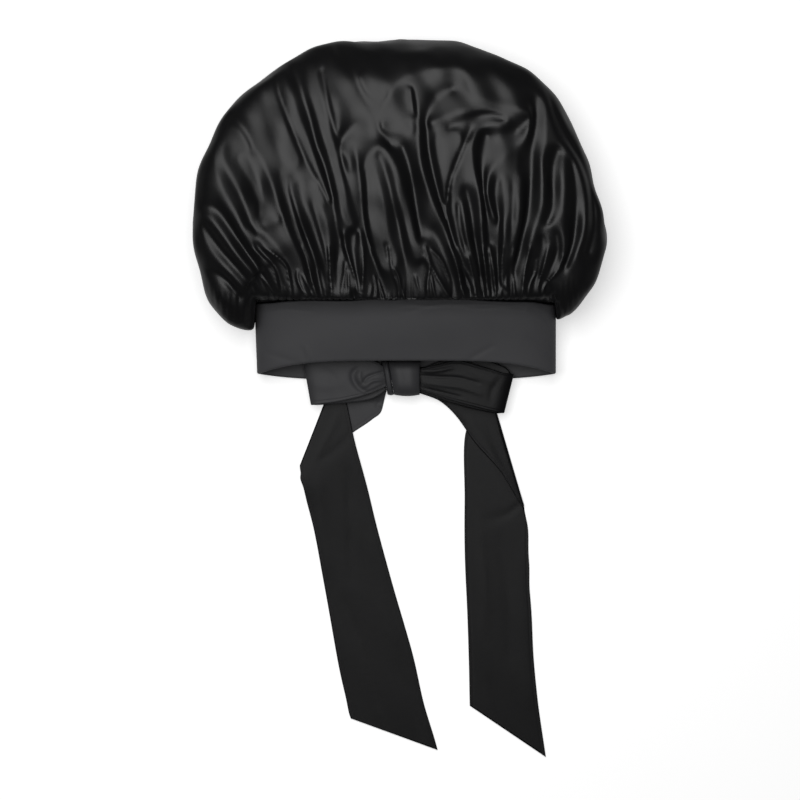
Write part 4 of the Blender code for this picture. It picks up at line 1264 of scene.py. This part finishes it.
LOOP_LEFT_FOLDS = (
    # height in mm, width in mm, line in pixels of the photograph
    (-1.3, 2.2, ((357, 369), (353, 374), (354, 381), (359, 388), (366, 392))),
    (0.9, 2.0, ((360, 372), (360, 379), (365, 386))),
    (-0.9, 1.2, ((362, 385), (365, 380), (370, 376), (383, 372))),
    (0.8, 1.6, ((384, 380), (373, 381), (366, 386))),
    (-0.6, 1.3, ((386, 384), (377, 388), (366, 393))),
    (-0.5, 4.0, ((320, 368), (332, 376), (340, 392))),
    (0.4, 5.0, ((312, 384), (326, 386), (344, 384))),
)
LOOP_RIGHT_FOLDS = (
    (0.5, 1.8, ((422, 371), (436, 371), (452, 368))),
    (-0.55, 1.6, ((422, 376), (438, 377), (458, 378), (478, 383))),
    (0.44, 2.2, ((422, 382), (440, 385), (462, 388), (480, 394))),
    (-0.44, 1.5, ((422, 388), (440, 392), (460, 397))),
    (-0.33, 3.0, ((500, 378), (492, 390), (490, 402))),
    (0.28, 4.0, ((470, 370), (484, 378), (500, 384))),
)
TAIL_LEFT_FOLDS = (
    (-0.36, 1.6, ((380, 401), (377, 406), (384, 411))),
    (0.24, 3.0, ((340, 412), (330, 432), (318, 455))),
    (-0.24, 3.0, ((351, 434), (340, 446), (322, 460))),
    (0.28, 5.0, ((318, 480), (322, 520), (330, 570))),
    (-0.28, 4.0, ((348, 470), (350, 520), (352, 580))),
    (0.2, 5.0, ((372, 540), (384, 600), (394, 660))),
    (-0.24, 4.0, ((345, 600), (362, 650), (378, 705))),
    (0.2, 4.0, ((360, 640), (372, 690), (386, 735))),
    (-0.2, 5.0, ((402, 640), (412, 690), (422, 735))),
)
TAIL_RIGHT_FOLDS = (
    (-0.41, 1.2, ((426, 396), (436, 399), (446, 404))),
    (0.27, 2.0, ((440, 404), (452, 410), (464, 420))),
    (0.27, 4.0, ((470, 420), (490, 452), (512, 488))),
    (-0.23, 4.0, ((488, 425), (500, 455), (518, 490))),
    (-0.32, 3.0, ((520, 504), (505, 515), (484, 520))),
    (0.23, 5.0, ((480, 520), (484, 570), (486, 630))),
    (-0.23, 5.0, ((500, 540), (508, 600), (510, 660))),
    (0.23, 6.0, ((520, 560), (524, 630), (530, 700))),
    (-0.23, 4.0, ((490, 680), (500, 715), (512, 740))),
)


def soft_folds(chart, ripple):
    """Relief of one piece: its charted dents, a hem line a little way in from each edge, and
    the slow unevenness of handled cloth. Both of the last are as tall as the ripple."""
    def relief(flat, across):
        x, y = flat[..., 0] + ORIGIN_X, flat[..., 1] + ORIGIN_Y
        edge = np.exp(-((np.abs(across) - 0.93) / 0.025) ** 2)
        slow = np.sin(x / 0.013 + 3 * y / 0.05) * np.sin(y / 0.021 + x / 0.04)
        return dents(x, y, chart) - ripple * edge + ripple * slow
    return relief


knot_left = -KNOT_WIDTH / 2
knot_right = KNOT_WIDTH / 2
wrap_right = knot_left - TIE_GAP
wrap_left = wrap_right - WRAP_WIDTH
loop_floor = BAND_FLOOR + 2 * (TIE_WALL + TIE_LAYER_GAP) + LOOP_LIFT + TIE_WALL / 2


def make_loop(name, table, length, side, relief, face):
    """A loop: the strip runs out on the lower leaf, turns over at its end and comes back."""
    middle, half, rise = strip_lines(table, length, LOOP_WIDTH, side)
    lift = loop_floor + rise * LOOP_HEIGHT
    upper = smoothstep((rise - 0.5) / 0.4)[:, None]
    return doubled_strip(name, middle, half, lift, False,
                         lambda flat, across: upper * relief(flat, across),
                         np.full(len(middle), face))


def make_tail(name, table, length, side, relief, before, after):
    """A tail: it lies on the band's lower leaf and then on the table, with one fold."""
    middle, half, layer = strip_lines(table, length, TAIL_WIDTH, side)
    lift = GROUND_GAP + TIE_WALL / 2 + layer * (TIE_WALL + TIE_LAYER_GAP)
    fold = next(row for row in range(len(table)) if table[row][4] == 0.5)
    past = np.arange(len(middle)) > fold * STRIP_ROWS_PER_LINE
    return doubled_strip(name, middle, half, lift, True, relief, np.where(past, after, before))


# The right loop, the right tail and the left tail past its fold take 1.0, the nearly black painted
# shade.
loop_left = make_loop("bow_loop_left_satin", LOOP_LEFT, LOOP_LENGTH_LEFT, wrap_left - TIE_GAP,
                      soft_folds(LOOP_LEFT_FOLDS, LOOP_RIPPLE), 0.0)
loop_right = make_loop("bow_loop_right_satin", LOOP_RIGHT, LOOP_LENGTH_RIGHT,
                       knot_right + TIE_GAP, soft_folds(LOOP_RIGHT_FOLDS, LOOP_RIPPLE), 1.0)
tail_left = make_tail("tail_left_satin", TAIL_LEFT, TAIL_LENGTH_LEFT, wrap_left - TIE_GAP,
                      soft_folds(TAIL_LEFT_FOLDS, TAIL_RIPPLE), 0.0, 1.0)
tail_right = make_tail("tail_right_satin", TAIL_RIGHT, TAIL_LENGTH_RIGHT, knot_right + TIE_GAP,
                       soft_folds(TAIL_RIGHT_FOLDS, TAIL_RIPPLE), 1.0, 1.0)
for piece in (loop_left, loop_right, tail_left, tail_right):
    piece.data.transform(Matrix.Translation((ORIGIN_X, ORIGIN_Y, 0)))

# %% [markdown]
# ## The knot
#
# One turn of the strip goes round the middle of the bow, and beside it on the left shows a
# narrow turn of the same strip. Both are tight, so they are rounded, with creases that run
# round them the way the cloth was pulled.

# %% Knot and side wrap
KNOT_COLUMNS = 120
KNOT_STATIONS = 44
WRAP_POWER = 0.70
KNOT_CREASE = 0.00012
WRAP_CREASE = 0.00015


def make_wrap(name, left, right, depth, height, bulge, creases):
    """Rounded rings carried from the left face to the right face: across the tie each ring is
    a rounded square, fuller in the middle, and creases run round it as a wave. Left and right
    each give a face's place and its share of the knot's slant."""
    stations = np.linspace(0.0, 1.0, KNOT_STATIONS)[:, None]
    around = np.linspace(0.0, 2 * math.pi, KNOT_COLUMNS, endpoint=False)[None, :]
    cosine = np.sign(np.cos(around)) * np.abs(np.cos(around)) ** WRAP_POWER
    sine = np.sign(np.sin(around)) * np.abs(np.sin(around)) ** WRAP_POWER
    swell = 1.0 - bulge * (2 * stations - 1) ** 2
    rounded = 1.0 - 0.22 * np.abs(2 * stations - 1) ** 5
    along = KNOT_PLACE[1] + 0.5 * depth * swell * cosine
    crease = creases * np.cos(2 * math.pi * (2.6 * stations + 0.25 * np.sin(around)))
    tall = BAND_FLOOR + 0.5 * height \
        + 0.5 * height * np.where(sine > 0, swell * rounded, 1.0) * sine
    tall = tall + crease * np.maximum(sine, 0.0)
    lean = -KNOT_SLANT * (along - KNOT_PLACE[1])
    first = KNOT_PLACE[0] + left[0] + left[1] * lean
    final = KNOT_PLACE[0] + right[0] + right[1] * lean
    across = first + (final - first) * stations
    grid = np.stack([across + ORIGIN_X, along + ORIGIN_Y, tall], axis=-1)
    return strip_mesh(name, grid, np.zeros(KNOT_STATIONS))


knot = make_wrap("bow_knot_satin", (knot_left, 1.0), (knot_right, 0.0), KNOT_DEPTH, KNOT_HEIGHT,
                 KNOT_BULGE, KNOT_CREASE)
side_wrap = make_wrap("knot_side_wrap_satin", (wrap_left, 1.0), (wrap_right, 1.0), WRAP_DEPTH,
                      WRAP_HEIGHT, WRAP_BULGE, WRAP_CREASE)

# %% [markdown]
# ## Table, light and camera
#
# The bonnet was photographed on a seamless white table, from straight above, under one large
# soft lamp a little toward the upper left. The white of the table is nearly at the top of the
# scale, and only the thin shadow beside the cloth is darker. A broad lamp is what gives satin
# its long soft gloss: wherever the cloth faces the lamp it turns grey, and elsewhere it stays
# black. The camera is far away with a long lens, so it sees the bonnet almost without
# perspective.

# %% White table
TABLE_HALF = 3.0
TABLE_ROUGHNESS = 0.6
TABLE_GLOW = 0.53
TABLE_GLOW_IN_GLOSS = 0.10
TABLE_WHITE = 0.80
TABLE_WHITE_IN_GLOSS = 0.50


def white_table():
    """A square of matte white laminate that glows a little, as an overlit table looks. In the
    satin's gloss it is dim, as it is where a photographer stands black cards round dark cloth."""
    material = bpy.data.materials.new("matte_white_laminate")
    material.use_nodes = True
    tree = material.node_tree
    shader = tree.nodes["Principled BSDF"]
    shader.inputs["Roughness"].default_value = TABLE_ROUGHNESS
    shader.inputs["Emission Color"].default_value = (1.0, 1.0, 1.0, 1.0)
    in_gloss = add_node(tree, "ShaderNodeLightPath").outputs["Is Glossy Ray"]
    glow = between(tree, TABLE_GLOW, TABLE_GLOW_IN_GLOSS, in_gloss)
    tree.links.new(glow, shader.inputs["Emission Strength"])
    white = between(tree, TABLE_WHITE, TABLE_WHITE_IN_GLOSS, in_gloss)
    tree.links.new(white, shader.inputs["Base Color"])
    mesh = bpy.data.meshes.new("white_table")
    corners = [(-TABLE_HALF, -TABLE_HALF, 0), (TABLE_HALF, -TABLE_HALF, 0),
               (TABLE_HALF, TABLE_HALF, 0), (-TABLE_HALF, TABLE_HALF, 0)]
    mesh.from_pydata(corners, [], [(0, 1, 2, 3)])
    mesh.materials.append(material)
    table_piece = bpy.data.objects.new("white_table", mesh)
    bpy.context.scene.collection.objects.link(table_piece)
    return table_piece


floor = white_table()

# %% Soft studio light
LAMP_PLACE = (-0.30, 0.46, 2.0)
LAMP_SIDE = 1.5
LAMP_WATTS = 32.0
ROOM_LIGHT = 0.06


def soft_lamp(name, place, side, watts):
    """A square soft lamp that faces straight down."""
    lamp = bpy.data.lights.new(name, type="AREA")
    lamp.shape = "SQUARE"
    lamp.size = side
    lamp.energy = watts
    piece = bpy.data.objects.new(name, lamp)
    piece.location = place
    bpy.context.scene.collection.objects.link(piece)
    return piece


def studio_world():
    """Dim room light for the cloth, and white for any ray that leaves the camera unhindered."""
    world = bpy.data.worlds.new("studio")
    bpy.context.scene.world = world
    world.use_nodes = True
    tree = world.node_tree
    background = tree.nodes["Background"]
    seen = add_node(tree, "ShaderNodeLightPath").outputs["Is Camera Ray"]
    level = between(tree, ROOM_LIGHT, 1.0, seen)
    background.inputs["Color"].default_value = (1.0, 1.0, 1.0, 1.0)
    tree.links.new(level, background.inputs["Strength"])


lamp = soft_lamp("overhead_softbox", LAMP_PLACE, LAMP_SIDE, LAMP_WATTS)
studio_world()
bpy.context.scene.view_settings.view_transform = "Standard"

# %% Camera
PHOTO_SIDE = 800
CAMERA_HEIGHT = 5.0
CAMERA_X = (PHOTO_SIDE / 2 - PHOTO_MIDDLE_X) * PIXEL
CAMERA_Y = (PHOTO_MIDDLE_Y - PHOTO_SIDE / 2) * PIXEL
SENSOR_MM = 36.0

lens = bpy.data.cameras.new("overhead_camera")
lens.type = "PERSP"
lens.sensor_width = SENSOR_MM
lens.lens = SENSOR_MM * CAMERA_HEIGHT / (PHOTO_SIDE * PIXEL)
lens.clip_end = 20.0
camera = bpy.data.objects.new("overhead_camera", lens)
camera.location = (CAMERA_X, CAMERA_Y, CAMERA_HEIGHT)
bpy.context.scene.collection.objects.link(camera)
bpy.context.scene.camera = camera
print(f"lens: {lens.lens:.0f} mm")

# %% Which solid each piece dresses
DRESSED = (
    (crown, "crown", "crown_satin"),
    (band, "band", "band_satin"),
    (knot, "bow_knot", "tie_satin"),
    (side_wrap, "knot_side_wrap", "tie_satin"),
    (loop_left, "bow_loop_left", "tie_satin"),
    (loop_right, "bow_loop_right", "tie_satin"),
    (tail_left, "tail_left", "tie_satin"),
    (tail_right, "tail_right", "tie_satin"),
)
for piece, node, slot in DRESSED:
    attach(piece, "root")
    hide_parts(node)
